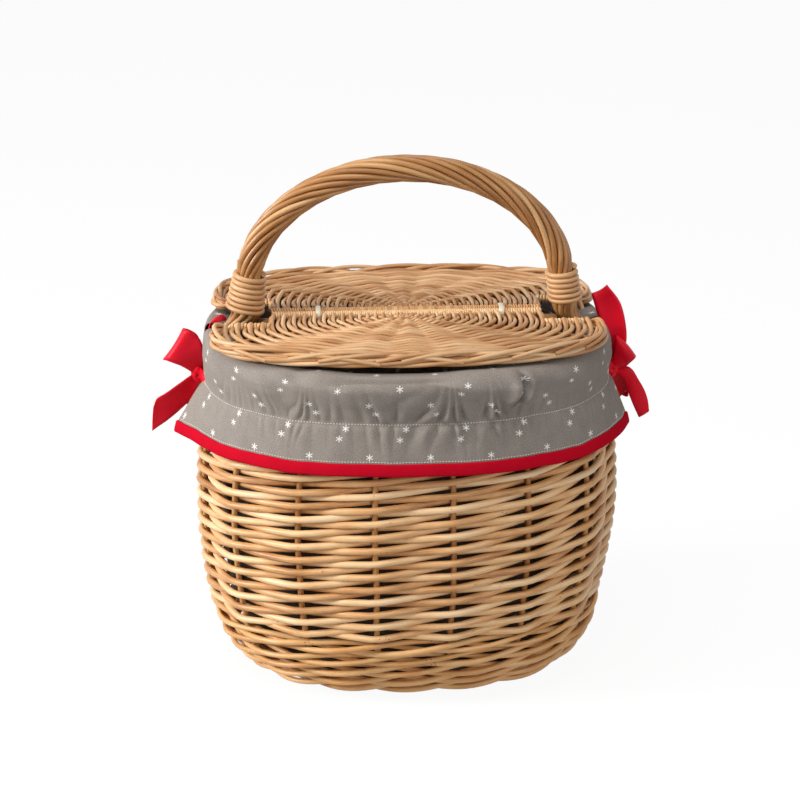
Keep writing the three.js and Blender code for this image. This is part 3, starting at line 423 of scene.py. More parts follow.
# The stakes' willow is the weavers' tone darkened: painted shade for stakes that stand back in the weave; ribs,
# handle core, base sticks and bar wear it too
STAKE_SHADE_STOPS = ((0.2, "#74400F"), (0.42, "#A46E38"), (0.62, "#C49056"), (0.88, "#D8AC74"))
WARM_STOPS = ((0.2, "#76451E"), (0.42, "#A6713E"), (0.62, "#C6955F"), (0.88, "#E0B888"))
willow = willow_finish("buff willow", WALL_STOPS, 0.42, 0.9)
willow_low_painted_shade = willow_finish("buff willow near the ground, painted shade", LOW_SHADE_STOPS, 0.42, 0.9)
willow_pale = willow_finish("pale buff willow", PALE_STOPS, 0.42, 0.7)
willow_warm = willow_finish("handled buff willow", WARM_STOPS, 0.36, 0.5)
willow_stake_painted_shade = willow_finish("stake willow, painted shade", STAKE_SHADE_STOPS, 0.5, 0.6)
grey_cotton = cotton_finish(
    "star printed grey cotton", ((0.25, "#80776F"), (0.5, "#90877F"), (0.75, "#A0978F")), True
)
# The wrong side faces the weave: unprinted, and darkened as painted shade, for the shade it lies in there
grey_wrong_side_painted_shade = cotton_finish(
    "grey cotton, wrong side, painted shade", ((0.25, "#4A423B"), (0.5, "#554C44"), (0.75, "#60574E")), False
)
red_cotton = cotton_finish(
    "red cotton", ((0.25, "#B60820"), (0.5, "#C20A24"), (0.75, "#CC0E28")), False, shine=0.05
)
red_satin = cotton_finish(
    "red satin ribbon", ((0.25, "#D00620"), (0.5, "#DC0826"), (0.75, "#E40C2C")), False, 0.42, 0.2
)
white_thread = plain_finish("white sewing thread", "#E9E4DA", 0.8, 1500.0, 0.3)
nylon_strap = plain_finish("natural nylon strap", "#E4DAC0", 0.35, 400.0, 0.1)


# ---- Curves and the shape of the body


def smooth_at(x, places, values):
    """A smooth curve through points, read at x."""
    places = np.asarray(places, float)
    values = np.asarray(values, float)
    slopes = np.gradient(values, places)
    i = np.clip(np.searchsorted(places, x) - 1, 0, len(places) - 2)
    span = places[i + 1] - places[i]
    t = np.clip((x - places[i]) / span, 0, 1)
    rise = (values[i + 1] - values[i]) * (3 * t**2 - 2 * t**3)
    bend = span * (slopes[i] * (t**3 - 2 * t**2 + t) + slopes[i + 1] * (t**3 - t**2))
    return values[i] + rise + bend


def way_along(path):
    """The way along a path from its start to each of its points."""
    return np.concatenate([[0], np.cumsum(np.linalg.norm(np.diff(path, axis=0), axis=1))])


def smooth_path(points, count):
    """Count points on a smooth curve through a few points, evenly spaced by chord."""
    points = np.asarray(points, float)
    places = way_along(points[:, :3])
    at = np.linspace(0, places[-1], count)
    return np.stack([smooth_at(at, places, column) for column in points.T], axis=1)


def stacked(*parts):
    """Arrays of matching shapes as the last axis of one."""
    return np.stack(np.broadcast_arrays(*parts), axis=-1)


def waver(x, wave, reach, seed):
    """A smooth uneven line: sines of about one wavelength and less, with seeded phases."""
    own = np.random.default_rng(seed)
    total = np.zeros_like(np.asarray(x, float))
    for share in (1.0, 0.62, 0.41, 0.27):
        length = wave * share * own.uniform(0.85, 1.15)
        total += share * np.sin(2 * math.pi * x / length + own.uniform(0, 6.3))
    return total * reach / 1.6


levels = np.linspace(WALL_SHARES[0][0], 1, 500) * WALL_HEIGHT
sizes = smooth_at(levels / WALL_HEIGHT, *zip(*WALL_SHARES))
reaches = sizes * BODY_LENGTH / 2
climbs = np.concatenate([[0], np.cumsum(np.hypot(np.diff(reaches), np.diff(levels)))])
leans = np.arctan2(np.gradient(reaches), np.gradient(levels))

angles = np.linspace(0, 2 * math.pi, 4001)
oval_x = np.sign(np.cos(angles)) * np.abs(np.cos(angles)) ** (2 / OVAL_POWER)
oval_y = np.sign(np.sin(angles)) * np.abs(np.sin(angles)) ** (2 / OVAL_POWER)
oval_steps = np.hypot(np.diff(oval_x) * BODY_LENGTH / 2, np.diff(oval_y) * BODY_DEPTH / 2)
oval_turns = np.concatenate([[0], np.cumsum(oval_steps)]) / oval_steps.sum()


def oval(turn):
    """The unit oval at a share of its way round from the +X end."""
    turn = np.mod(turn, 1)
    return np.interp(turn, oval_turns, oval_x), np.interp(turn, oval_turns, oval_y)


def wall_size(height):
    """Half length and half depth of the wall's outside at a height."""
    size = np.interp(height, levels, sizes)
    return size * BODY_LENGTH / 2, size * BODY_DEPTH / 2


def climb_to(height):
    """The way up the wall's outside from its foot to a height."""
    return float(np.interp(height, levels, climbs))


def wall_point(turn, climb, out):
    """A point on the wall: turns round it, way up it, and distance outside its face."""
    across, along = oval(turn)
    height = np.interp(climb, climbs, levels)
    size = np.interp(climb, climbs, sizes)
    lean = np.interp(climb, climbs, leans)
    pulled_in = RIGHT_PULL * np.clip(across, 0, 1) * np.exp(-(((height - 0.08) / 0.05) ** 2))
    half_length = size * BODY_LENGTH / 2 + out * np.cos(lean) - pulled_in
    half_depth = size * BODY_DEPTH / 2 + out * np.cos(lean)
    return stacked(half_length * across, half_depth * along, height - out * np.sin(lean))


# ---- Rods


def end_tree(tree, made, finish):
    """The end of every tree: real geometry that wears its finish."""
    real = add_node(tree, "GeometryNodeRealizeInstances", inputs={"Geometry": made})
    worn = add_node(
        tree,
        "GeometryNodeSetMaterial",
        inputs={"Geometry": real.outputs["Geometry"], "Material": finish},
    )
    add_node(tree, "NodeGroupOutput", inputs={"Geometry": worn.outputs["Geometry"]})


def rods_tree():
    """Geometry Nodes: every line of the source becomes a round rod of its own thickness."""
    tree = bpy.data.node_groups.new("willow rods", "GeometryNodeTree")
    tree.interface.new_socket("Geometry", in_out="INPUT", socket_type="NodeSocketGeometry")
    tree.interface.new_socket("Sides", in_out="INPUT", socket_type="NodeSocketInt")
    tree.interface.new_socket("Finish", in_out="INPUT", socket_type="NodeSocketMaterial")
    tree.interface.new_socket("Geometry", in_out="OUTPUT", socket_type="NodeSocketGeometry")
    given = add_node(tree, "NodeGroupInput")
    lines = add_node(tree, "GeometryNodeMeshToCurve", inputs={"Mesh": given.outputs["Geometry"]})
    thickness = add_node(
        tree, "GeometryNodeInputNamedAttribute", {"data_type": "FLOAT"}, {"Name": "thickness"}
    )
    ring = add_node(
        tree,
        "GeometryNodeCurvePrimitiveCircle",
        inputs={"Resolution": given.outputs["Sides"], "Radius": 1.0},
    )
    section = add_node(
        tree,
        "GeometryNodeStoreNamedAttribute",
        {"data_type": "FLOAT_VECTOR", "domain": "POINT"},
        {
            "Geometry": ring.outputs["Curve"],
            "Name": "section",
            "Value": add_node(tree, "GeometryNodeInputPosition").outputs["Position"],
        },
    )
    swept = add_node(
        tree,
        "GeometryNodeCurveToMesh",
        inputs={
            "Curve": lines.outputs["Curve"],
            "Profile Curve": section.outputs["Geometry"],
            "Scale": thickness.outputs["Attribute"],
            "Fill Caps": True,
        },
    )
    smooth = add_node(
        tree, "GeometryNodeSetShadeSmooth", inputs={"Geometry": swept.outputs["Mesh"]}
    )
    end_tree(tree, smooth.outputs["Geometry"], given.outputs["Finish"])
    return tree


def stitches_tree():
    """Geometry Nodes: short stitches of thread, evenly spaced along every line of the source."""
    tree = bpy.data.node_groups.new("stitches", "GeometryNodeTree")
    tree.interface.new_socket("Geometry", in_out="INPUT", socket_type="NodeSocketGeometry")
    for name in ("Spacing", "Length", "Thickness"):
        tree.interface.new_socket(name, in_out="INPUT", socket_type="NodeSocketFloat")
    tree.interface.new_socket("Finish", in_out="INPUT", socket_type="NodeSocketMaterial")
    tree.interface.new_socket("Geometry", in_out="OUTPUT", socket_type="NodeSocketGeometry")
    given = add_node(tree, "NodeGroupInput")
    lines = add_node(tree, "GeometryNodeMeshToCurve", inputs={"Mesh": given.outputs["Geometry"]})
    places = add_node(
        tree,
        "GeometryNodeCurveToPoints",
        {"mode": "LENGTH"},
        {"Curve": lines.outputs["Curve"], "Length": given.outputs["Spacing"]},
    )
    bead = add_node(
        tree, "GeometryNodeMeshUVSphere", inputs={"Segments": 6, "Rings": 4, "Radius": 0.5}
    )
    scale = add_node(
        tree,
        "ShaderNodeCombineXYZ",
        inputs={
            "X": given.outputs["Thickness"],
            "Y": given.outputs["Thickness"],
            "Z": given.outputs["Length"],
        },
    )
    beads = add_node(
        tree,
        "GeometryNodeInstanceOnPoints",
        inputs={
            "Points": places.outputs["Points"],
            "Instance": bead.outputs["Mesh"],
            "Rotation": places.outputs["Rotation"],
            "Scale": scale.outputs["Vector"],
        },
    )
    end_tree(tree, beads.outputs["Instances"], given.outputs["Finish"])
    return tree


def grown(name, source, tree, given):
    """Runs a tree on a source mesh and keeps the result as a plain mesh of that name."""
    holder = bpy.data.objects.new(f"{name}_lines", source)
    bpy.context.scene.collection.objects.link(holder)
    modifier = holder.modifiers.new("grow", "NODES")
    modifier.node_group = tree
    for item in tree.interface.items_tree:
        if item.in_out == "INPUT" and item.name in given:
            modifier[item.identifier] = given[item.name]
    graph = bpy.context.evaluated_depsgraph_get()
    mesh = bpy.data.meshes.new_from_object(
        holder.evaluated_get(graph), preserve_all_data_layers=True, depsgraph=graph
    )
    mesh.name = name
    bpy.data.objects.remove(holder)
    piece = bpy.data.objects.new(name, mesh)
    bpy.context.scene.collection.objects.link(piece)
    return piece


def line_mesh(name, rods):
    """Lines as a mesh of edges: each rod is its points, its radii, and whether it is closed."""
    points, edges, radii, owner, way = [], [], [], [], []
    start = 0
    for path, radius, *closed in rods:
        path = np.asarray(path, float)
        count = len(path)
        points.append(path)
        radii.append(np.broadcast_to(np.asarray(radius, float), (count,)))
        owner.append(np.full(count, rng.random()))
        way.append(way_along(path))
        here = np.arange(start, start + count - 1)
        edges.append(np.stack([here, here + 1], axis=1))
        if closed and closed[0]:
            edges.append(np.array([[start + count - 1, start]]))
        start += count
    mesh = bpy.data.meshes.new(f"{name}_lines")
    mesh.from_pydata(np.concatenate(points).tolist(), np.concatenate(edges).tolist(), [])
    for label, values in (("thickness", radii), ("rod", owner), ("along", way)):
        attribute = mesh.attributes.new(label, "FLOAT", "POINT")
        attribute.data.foreach_set("value", np.concatenate(values).astype(np.float32))
    return mesh


rods_to_mesh = rods_tree()
stitches_to_mesh = stitches_tree()


def willow_piece(name, rods, finish, body, nodes, sides=8):
    """Makes one piece of willow from its rods, which stands for some nodes of the frame."""
    piece = grown(name, line_mesh(name, rods), rods_to_mesh, {"Sides": sides, "Finish": finish})
    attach(piece, body)
    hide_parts(*nodes)
    return piece


def strands(path, out, up, reach_out, reach_up, count, turns, phase=0.0):
    """Lines twisted round a path, each at its own place in the lay."""
    path, out, up = (np.asarray(a, float) for a in (path, out, up))
    way = way_along(path)
    share = way / way[-1]
    reach_out = np.broadcast_to(reach_out, share.shape)[:, None]
    reach_up = np.broadcast_to(reach_up, share.shape)[:, None]
    lines = []
    for k in range(count):
        turn = (2 * math.pi * (k / count + turns * share) + phase)[:, None]
        lines.append(path + out * reach_out * np.cos(turn) + up * reach_up * np.sin(turn))
    return lines


def wound(start, end, side, up, radius, pitch, steps=16, flare=0.0):
    """A line wound round a straight axis, whose radius grows by flare from start to end."""
    start, end, side, up = (np.asarray(a, float) for a in (start, end, side, up))
    length = np.linalg.norm(end - start)
    share = np.linspace(0, 1, int(length / pitch * steps) + 1)[:, None]
    turn = 2 * math.pi * share * length / pitch
    away = side * np.cos(turn) + up * np.sin(turn)
    return start + (end - start) * share + (radius + flare * share) * away


def swing(bay):
    """How far out of the wall's middle a weaver stands, from 1 in front of a stake to -1 behind the
    next. Stiff rods run nearly straight between stakes and bend at them."""
    waves = [np.cos(odd * math.pi * bay) / odd**2 for odd in (1, 3, 5)]
    return (waves[0] + waves[1] + waves[2]) / 1.151


# ---- The wall


def add_side_weave():
    """Randing: a weaver starts at each stake, goes in front of one and behind the next, and climbs
    a row at each, so that all the passes in front of the stakes are level."""
    base = climb_to(WALE_TOP + 0.0030)
    rows = int((climb_to(WALL_HEIGHT - 0.003) - base) / ROW_PITCH)
    rods = []
    for first in range(STAKES):
        bay = np.arange(-0.7, rows + 0.01, 1 / 8)
        lift = ROW_PITCH * np.maximum(bay, 0) + waver(bay, 9.0, 0.0004, first)
        out = -STAKE_INSET + WEAVE_SWING * swing(bay) + waver(bay, 7.0, 0.0003, first + 40)
        turn = (first + bay + 0.5) / STAKES
        radius = WEAVER_RADIUS + 0.0001 - 0.0002 * bay / rows
        radius = radius + waver(bay, 13.0, 0.00014, first + 80)
        rods.append((wall_point(turn, base + lift, out), radius))
    willow_piece("side_weave_rods", rods, willow, "basket", ["side_weave"])


def add_lower_wale():
    """Waling in threes: each rod goes in front of two stakes and behind one, and rises as it does.

    The rods start and end at the back, where their ends are pushed inside."""
    pitch = (climb_to(WALE_TOP) - 0.005) / WALE_ROUNDS
    rods = []
    for k in range(3):
        bay = np.arange(k, WALE_ROUNDS * STAKES + k, 1 / 8)
        part = (bay - k) / 3
        out = -STAKE_INSET + 0.0002 + 0.0054 * (0.22 - np.cos(2 * math.pi * part))
        out = out + waver(bay, 11.0, 0.0005, k + 150)
        climb = 0.004 + pitch * (bay - k * 0.5) / STAKES - 0.32 * pitch * np.sin(2 * math.pi * part)
        out = out - 0.007 * np.clip(1.2 - np.minimum(bay - bay[0], bay[-1] - bay), 0, 1) ** 2
        climb = np.maximum(climb + waver(bay, 8.0, 0.0013, k + 120), 0.0005)
        radius = WALE_RADIUS - 0.0005 + waver(bay, 9.0, 0.0004, k + 130)
        rods.append((wall_point((bay + 0.5) / STAKES, climb, out), radius))
    # The wale wears the willow darkened as painted shade
    willow_piece("lower_wale_rods", rods, willow_low_painted_shade, "basket", ["lower_wale"])


def add_stakes():
    rods = []
    for k in range(STAKES):
        climb = np.linspace(0.0, climb_to(WALL_HEIGHT), 50)
        turn = (k + 0.5) / STAKES + waver(climb, 0.15, 0.0006, k + 200)
        out = 0.0004 - STAKE_INSET - 0.002 * np.exp(-climb / 0.02)
        rods.append((wall_point(turn, climb, out), STAKE_RADIUS - 0.0004 * climb / climb[-1]))
    nodes = [f"side_stake_{k + 1:02d}" for k in range(STAKES)]
    willow_piece("side_stakes", rods, willow_stake_painted_shade, "basket", nodes)


def oval_track(half_length, half_depth, height, count=400):
    """A level oval path, with its outward and upward directions."""
    turn = np.arange(count) / count
    across, along = oval(turn)
    path = np.stack([half_length * across, half_depth * along, np.full(count, height)], axis=1)
    tangent = np.roll(path, -1, axis=0) - np.roll(path, 1, axis=0)
    out = np.stack([tangent[:, 1], -tangent[:, 0], np.zeros(count)], axis=1)
    out /= np.linalg.norm(out, axis=1)[:, None]
    up = np.tile([0.0, 0.0, 1.0], (count, 1))
    return path, out, up


def closed_strands(path, out, up, reach_out, reach_up, count, turns):
    """Strands round a closed path, with no last point twice, whose lay comes round whole."""
    share = np.arange(len(path)) / len(path)
    lines = []
    for k in range(count):
        turn = (2 * math.pi * (k / count + turns * share))[:, None]
        lines.append(path + out * reach_out * np.cos(turn) + up * reach_up * np.sin(turn))
    return lines


def add_borders():
    foot_length, foot_depth = (size - 0.0163 for size in wall_size(levels[0]))
    track = oval_track(foot_length, foot_depth, 0.0062)
    lines = [*closed_strands(*track, 0.0048, 0.0037, 5, 7), track[0]]
    foot = [(line, 0.0024, True) for line in lines]
    willow_piece("foot_border_rods", foot, willow, "basket", ["foot_border"])

    track = oval_track(RIM_LENGTH - 0.006, RIM_DEPTH - 0.006, 0.3072)
    lines = [*closed_strands(*track, 0.0036, 0.0037, 6, 9), track[0]]
    rim = [(line, 0.0023, True) for line in lines]
    willow_piece("rim_border_rods", rim, willow_pale, "basket", ["rim_border"])


def add_base():
    """Long sticks under the base, and rods woven over and under them from side to side."""
    places = (-0.045, -0.015, 0.015, 0.045)
    half_length, half_depth = (size - 0.0085 for size in wall_size(0.0123))
    foot_length, foot_depth = (size - 0.0243 for size in wall_size(levels[0]))
    sticks = []
    for place in places:
        share = (abs(place) + 0.004) / foot_depth
        reach = foot_length * (1 - share**OVAL_POWER) ** (1 / OVAL_POWER) - 0.001
        sticks.append((np.array([[-reach, place, 0.0102], [reach, place, 0.0102]]), 0.0034))
    nodes = [f"base_stick_{k + 1}" for k in range(4)]
    willow_piece("base_sticks", sticks, willow_stake_painted_shade, "basket", nodes, sides=12)

    rods = []
    for k, x in enumerate(np.arange(-0.140, 0.1401, 0.0054)):
        reach = half_depth * (1 - (abs(x) / half_length) ** OVAL_POWER) ** (1 / OVAL_POWER) - 0.002
        crossings = [(-reach, 0.0153)]
        for n, place in enumerate(places):
            if abs(x) < 0.1 and abs(place) < reach - 0.012:
                crossings.append((place, 0.0102 + 0.0055 * (1 if (k + n) % 2 else -1)))
        crossings.append((reach, 0.0153))
        if len(crossings) == 2:
            crossings.insert(1, (0.0, 0.0153))
        y, z = np.array(crossings).T
        at = np.linspace(-reach, reach, 48)
        rods.append((np.stack([np.full(48, x), at, smooth_at(at, y, z)], axis=1), 0.0023))
    willow_piece("base_weave_rods", rods, willow, "basket", ["base_weave"])


# ---- The handle

WRAP_TOP = 0.367
WRAP_PITCH = 0.0048
WRAP_SPREAD = 0.0052
WRAP_X = 0.13906
NECK_RADIUS = 0.0101
# The rope's radius at its foot, and how many turns of the wrap hold it
ROPE_FEET = {"left": (0.0136, 7), "right": (0.011, 6)}

def handle_line():
    """The handle's line from its left end to its right one, 400 points."""
    arch_end = math.radians(84)
    rise = (HANDLE_TOP - ROPE_RADIUS - WRAP_TOP) / (1 - math.cos(arch_end))
    foot = RIM_LENGTH - 0.0385
    angle = np.linspace(0, arch_end, 12)
    side = stacked(
        foot * np.sin(angle) / math.sin(arch_end),
        HANDLE_TOP - ROPE_RADIUS - rise * (1 - np.cos(angle)),
    )
    wrap = [[foot + WRAP_SPREAD * share, WRAP_TOP - 0.0371 * share] for share in (0.34, 0.67, 1.0)]
    legs = [[wall_size(min(z, WALL_HEIGHT))[0] - 0.0185, z] for z in (0.309, 0.262, 0.222)]
    side = np.concatenate([side, wrap, legs])
    whole = np.concatenate([side[::-1] * [-1, 1], side[1:]])
    points = smooth_path(np.stack([whole[:, 0], np.zeros(len(whole)), whole[:, 1]], axis=1), 400)
    tangent = np.gradient(points, axis=0)
    tangent /= np.linalg.norm(tangent, axis=1)[:, None]
    out = np.stack([-tangent[:, 2], np.zeros(400), tangent[:, 0]], axis=1)
    return points, out


def add_handle():
    points, out = handle_line()
    core = [(points, 0.0046)]
    willow_piece("handle_core", core, willow_stake_painted_shade, "basket", ["handle_bow"])

    height = points[:, 2]
    rope = height > 0.309
    line, line_out = points[rope], out[rope]
    left = line[:, 0] < 0
    spread = np.where(left, ROPE_FEET["left"][0], ROPE_FEET["right"][0])
    reach = smooth_at(
        np.clip(line[:, 2], 0.309, 0.378),
        (0.309, 0.322, 0.33, WRAP_TOP, 0.378),
        (0.6, 0.78, 1.0, 1.0, 1.0),
    )
    neck = np.interp(line[:, 2], (0.33, WRAP_TOP, 0.3776), (0.0, 1.0, 1.0))
    radius = spread * (1 - neck) + NECK_RADIUS * neck
    above_wrap = np.interp(line[:, 2], (WRAP_TOP, 0.3776), (NECK_RADIUS, ROPE_RADIUS))
    radius = np.where(line[:, 2] > WRAP_TOP, above_wrap, radius)
    ring = np.maximum(radius * reach - 0.0026, 0.004)
    across = np.tile([0.0, 1.0, 0.0], (len(line), 1))
    length = np.linalg.norm(np.diff(line, axis=0), axis=1).sum()
    lines = strands(line, line_out, across, ring, ring, 11, -length / 0.237, 0.4)
    rods = []
    for k, path in enumerate(lines):
        share = np.linspace(0, 1, len(path))
        rods.append((path, 0.0026 + waver(share, 0.4, 0.00018, k + 300)))
    willow_piece("handle_rods", rods, willow_warm, "basket", ["handle_rope"])

    for side, (foot_radius, turns) in ROPE_FEET.items():
        sign = -1 if side == "left" else 1
        foot_x = WRAP_X + WRAP_SPREAD * turns / 7
        start = np.array([sign * WRAP_X, 0, WRAP_TOP])
        end = np.array([sign * foot_x, 0, WRAP_TOP - WRAP_PITCH * turns])
        along = (end - start) / np.linalg.norm(end - start)
        away = np.array([-along[2], 0, along[0]])
        away /= np.linalg.norm(away)
        flare = foot_radius - NECK_RADIUS
        turns_line = wound(start, end, away, (0.0, 1.0, 0.0), 0.0125, WRAP_PITCH, 28, flare=flare)
        tuck = np.array([0.004 * sign, -0.004, -0.012])
        tail = turns_line[-1] + np.linspace(0, 1, 8)[1:, None] * tuck
        path = np.concatenate([turns_line, tail])
        inner = start - away * 0.0095
        stub = np.array([inner + along * 0.004, inner - along * 0.0105 - away * 0.001])
        rods = [(path, np.linspace(0.0024, 0.0022, len(path))), (stub, 0.0021)]
        nodes = [f"{side}_wrap"]
        willow_piece(f"{side}_wrap_rod", rods, willow_pale, "basket", nodes, sides=10)


# ---- Lids

EDGE_Y = 0.010
NOTCH_X = 0.1212
NOTCH_DEPTH = 0.0320
LID_LENGTH = RIM_LENGTH - 0.002
LID_DEPTH = RIM_DEPTH - 0.0057
CORNER_DEPTH = 0.058
BORDER_WIDTH = 0.013
LID_LAYER = 0.3276
RIB_ANGLES = (0, 24, 45, 67.5, 90, 112.5, 135, 156, 180)


def lid_reach(degrees, inset):
    """Distance from the middle of the straight edge to the lid's outline, drawn in by an inset."""
    angle = math.radians(degrees)
    length = LID_LENGTH - inset
    depth = LID_DEPTH - CORNER_DEPTH - inset
    low, high = 0.01, 0.3
    for _ in range(40):
        middle = (low + high) / 2
        x = middle * math.cos(angle)
        y = EDGE_Y + middle * math.sin(angle)
        if y > CORNER_DEPTH:
            outside = (abs(x) / length) ** OVAL_POWER + ((y - CORNER_DEPTH) / depth) ** OVAL_POWER > 1
        else:
            outside = abs(x) > length
        low, high = (low, middle) if outside else (middle, high)
    return low


def border_track(inset, count=240):
    """The line of a lid's border, from its right notch round the front to its left one."""
    half = LID_LENGTH - inset
    depth = LID_DEPTH - CORNER_DEPTH - inset
    angle = -np.linspace(0, math.pi, 90)
    front = np.stack(
        [
            half * np.sign(np.cos(angle)) * np.abs(np.cos(angle)) ** (2 / OVAL_POWER),
            -CORNER_DEPTH - depth * np.abs(np.sin(angle)) ** (2 / OVAL_POWER),
        ],
        axis=1,
    )
    turn_in = [
        [half - 0.022, -NOTCH_DEPTH - 0.0045],
        [half - 0.010, -NOTCH_DEPTH - 0.0045],
        [half - 0.003, -NOTCH_DEPTH - 0.0065],
        [half - 0.0003, -NOTCH_DEPTH - 0.0115],
    ]
    left = [[-x, y] for x, y in reversed(turn_in)]
    flat = np.concatenate([turn_in, front[1:-1], left])
    track = smooth_path(np.concatenate([flat, np.zeros((len(flat), 1))], axis=1), count)
    tangent = np.gradient(track, axis=0)
    out = np.stack([-tangent[:, 1], tangent[:, 0], np.zeros(count)], axis=1)
    out /= -np.linalg.norm(out, axis=1)[:, None]
    return track, out


def add_lid(name, body, turned, seed):
    """One lid: fanned ribs, weavers that go to and fro in half ovals, a border of long rolled rods,
    and a rod along the straight edge that is wound all the way."""
    sign = -1.0 if turned else 1.0
    flip = np.array([sign, sign, 1.0])

    own = np.random.default_rng(seed)
    reaches_to_border = [lid_reach(angle, BORDER_WIDTH - 0.002) for angle in RIB_ANGLES]
    directions = [
        np.array([math.cos(math.radians(angle)), -math.sin(math.radians(angle)), 0.0]) for angle in RIB_ANGLES
    ]
    centre = np.array([0.0, -EDGE_Y, LID_LAYER])

    ribs = []
    for k in range(1, 8):
        start = centre + directions[k] * 0.004
        end = centre + directions[k] * (reaches_to_border[k] + 0.004)
        ribs.append((np.stack([start, end]) * flip, np.array([0.0021, 0.0018])))
    nodes = [f"{name}_rib_{k}" for k in range(1, 8)]
    willow_piece(f"{name}_ribs", ribs, willow_stake_painted_shade, body, nodes)

    rods = []
    at = 0.0045
    row = 0
    crossings = []
    while at < 0.1605:
        share = at / lid_reach(0, BORDER_WIDTH)
        crossings.append(at)
        knots = []
        for k in range(9):
            reach = reaches_to_border[k] * share + own.normal(0, 0.0003)
            point = centre + directions[k] * reach
            if k in (0, 8) and at > NOTCH_X - 0.001:
                point[1] = -NOTCH_DEPTH - 0.003
            knots.append(point)
        pieces = []
        for k in range(8):
            t = np.linspace(0, 1, 9)[: 9 if k == 7 else 8, None]
            path = knots[k] * (1 - t) + knots[k + 1] * t
            bulge = (directions[k] + directions[k + 1]) / 2
            fullness = 0.075 if k in (0, 7) else 0.02 + (0.12, 0.04, 0.0, 0.0, 0.04, 0.12)[k - 1] * share**3
            path = path + bulge * np.linalg.norm(knots[k + 1] - knots[k]) * fullness * np.sin(math.pi * t)
            over = swing(k + t[:, 0]) * (1 if row % 2 else -1)
            path[:, 2] += 0.0021 * over
            pieces.append(path)
        path = np.concatenate(pieces)
        path[:, 2] += waver(np.arange(len(path)), 30.0, 0.0003, seed + row)
        path[:, 2] += 0.0007
        rods.append((path * flip, 0.0014 + 0.0009 * share + own.normal(0, 0.0001)))
        at += 0.0030 + 0.0026 * share
        row += 1
    willow_piece(f"{name}_weavers", rods, willow_pale, body, [f"{name}_weave"])

    track, out = border_track(BORDER_WIDTH / 2)
    track[:, 2] = 0.3248
    up = np.tile([0.0, 0.0, 1.0], (len(track), 1))
    taper = np.clip(np.minimum(np.arange(len(track)), np.arange(len(track))[::-1]) / 14, 0.35, 1)
    wide = 0.0042 + waver(np.arange(len(track)), 90.0, 0.0004, seed + 70)
    lines = strands(track, out, up, wide * taper, 0.0024 * taper, 4, 2.4, 0.5 + seed)
    rods = [((line * flip), 0.0020 * np.clip(taper + 0.3, 0, 1)) for line in lines]
    rods.append((track * flip, 0.0026 * taper))
    count = len(track) - 1
    for k in range(17):
        first = (k / 17 * 0.98 - 0.11 + own.normal(0, 0.010)) * count
        reach = own.uniform(0.19, 0.25) * count
        at_points = np.linspace(max(first, 6), min(first + reach, count - 6), 40)
        passing = (at_points - first) / reach
        backwards = k % 3 != 0
        passing = 1 - passing if backwards else passing
        base = np.stack([np.interp(at_points, np.arange(count + 1), column) for column in track.T], axis=1)
        sideways = np.stack([np.interp(at_points, np.arange(count + 1), column) for column in out.T], axis=1)
        outward = own.uniform(0.0032, 0.0056) - 0.0150 * (1 - np.cos(math.pi / 2 * passing))
        rise = smooth_at(passing, (0, 0.2, 0.5, 0.75, 1), (0.0012, 0.0050, 0.0070, 0.0046, -0.0016))
        near_notch = np.clip(np.minimum(at_points, count - at_points) / 30, 0.2, 1)
        dive = np.clip(np.minimum(at_points, count - at_points) / 12, 0.5, 1)
        path = base - sideways * (outward * near_notch)[:, None]
        path[:, 2] += (rise + (0.0009 if backwards else -0.0011)) * dive + own.uniform(-0.0004, 0.0004)
        radius = own.uniform(0.0019, 0.0023) * np.interp(passing, (0, 0.93, 1), (0.9, 1.0, 0.62)) * (0.6 + 0.4 * dive)
        rods.append((path * flip, radius))
    willow_piece(f"{name}_border_rods", rods, willow_pale, body, [f"{name}_border"])

    reach = NOTCH_X - 0.0006
    axis = [np.array([-reach, -HINGE_OFFSET, HINGE_HEIGHT]), np.array([reach, -HINGE_OFFSET, HINGE_HEIGHT])]
    crossings = np.array(crossings)
    turns = 2.0 * np.arange(len(crossings)) + crossings[0] / 0.0016
    places = np.concatenate([-crossings[::-1], crossings])
    rounds = np.concatenate([-turns[::-1], turns])
    fine = np.linspace(-reach, reach, 2400)
    angle = 2 * math.pi * np.interp(fine, places, rounds)
    pitch = np.gradient(fine, angle) * 2 * math.pi
    radius = np.clip(pitch * 0.5, 0.0011, 0.0017)
    ring = 0.0045 - radius
    winding = np.stack(
        [fine, -HINGE_OFFSET + ring * np.cos(angle), HINGE_HEIGHT + ring * np.sin(angle)], axis=1
    )
    rods = [(np.stack(axis) * flip, 0.0022), (winding * flip, radius)]
    for side in (-1, 1):
        start = np.array([side * (NOTCH_X + 0.001), -NOTCH_DEPTH - 0.0035, LID_LAYER])
        end = np.array([side * (LID_LENGTH - 0.02), -NOTCH_DEPTH - 0.0035, LID_LAYER])
        turns = wound(start, end, (0.0, 1.0, 0.0), (0.0, 0.0, 1.0), 0.0028, 0.0029, 12)
        rods += [(np.stack([start, end]) * flip, 0.0018), (turns * flip, 0.0013)]
        corner = np.array([side * (NOTCH_X - 0.0005), -0.012, LID_LAYER])
        foot = np.array([side * (NOTCH_X - 0.0005), -NOTCH_DEPTH - 0.004, LID_LAYER])
        rods.append((np.stack([corner, foot]) * flip, 0.0024))
    willow_piece(f"{name}_edge_rods", rods, willow, body, [f"{name}_hinge_rod"])


def add_centre_bar():
    low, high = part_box("centre_bar")
    middle = (low + high) / 2
    count = 60
    path = np.stack(
        [np.linspace(low.x, high.x, count), np.full(count, middle.y), np.full(count, middle.z)], axis=1
    )
    willow_piece("centre_bar_rod", [(path, 0.0049)], willow_stake_painted_shade, "basket", ["centre_bar"], sides=14)


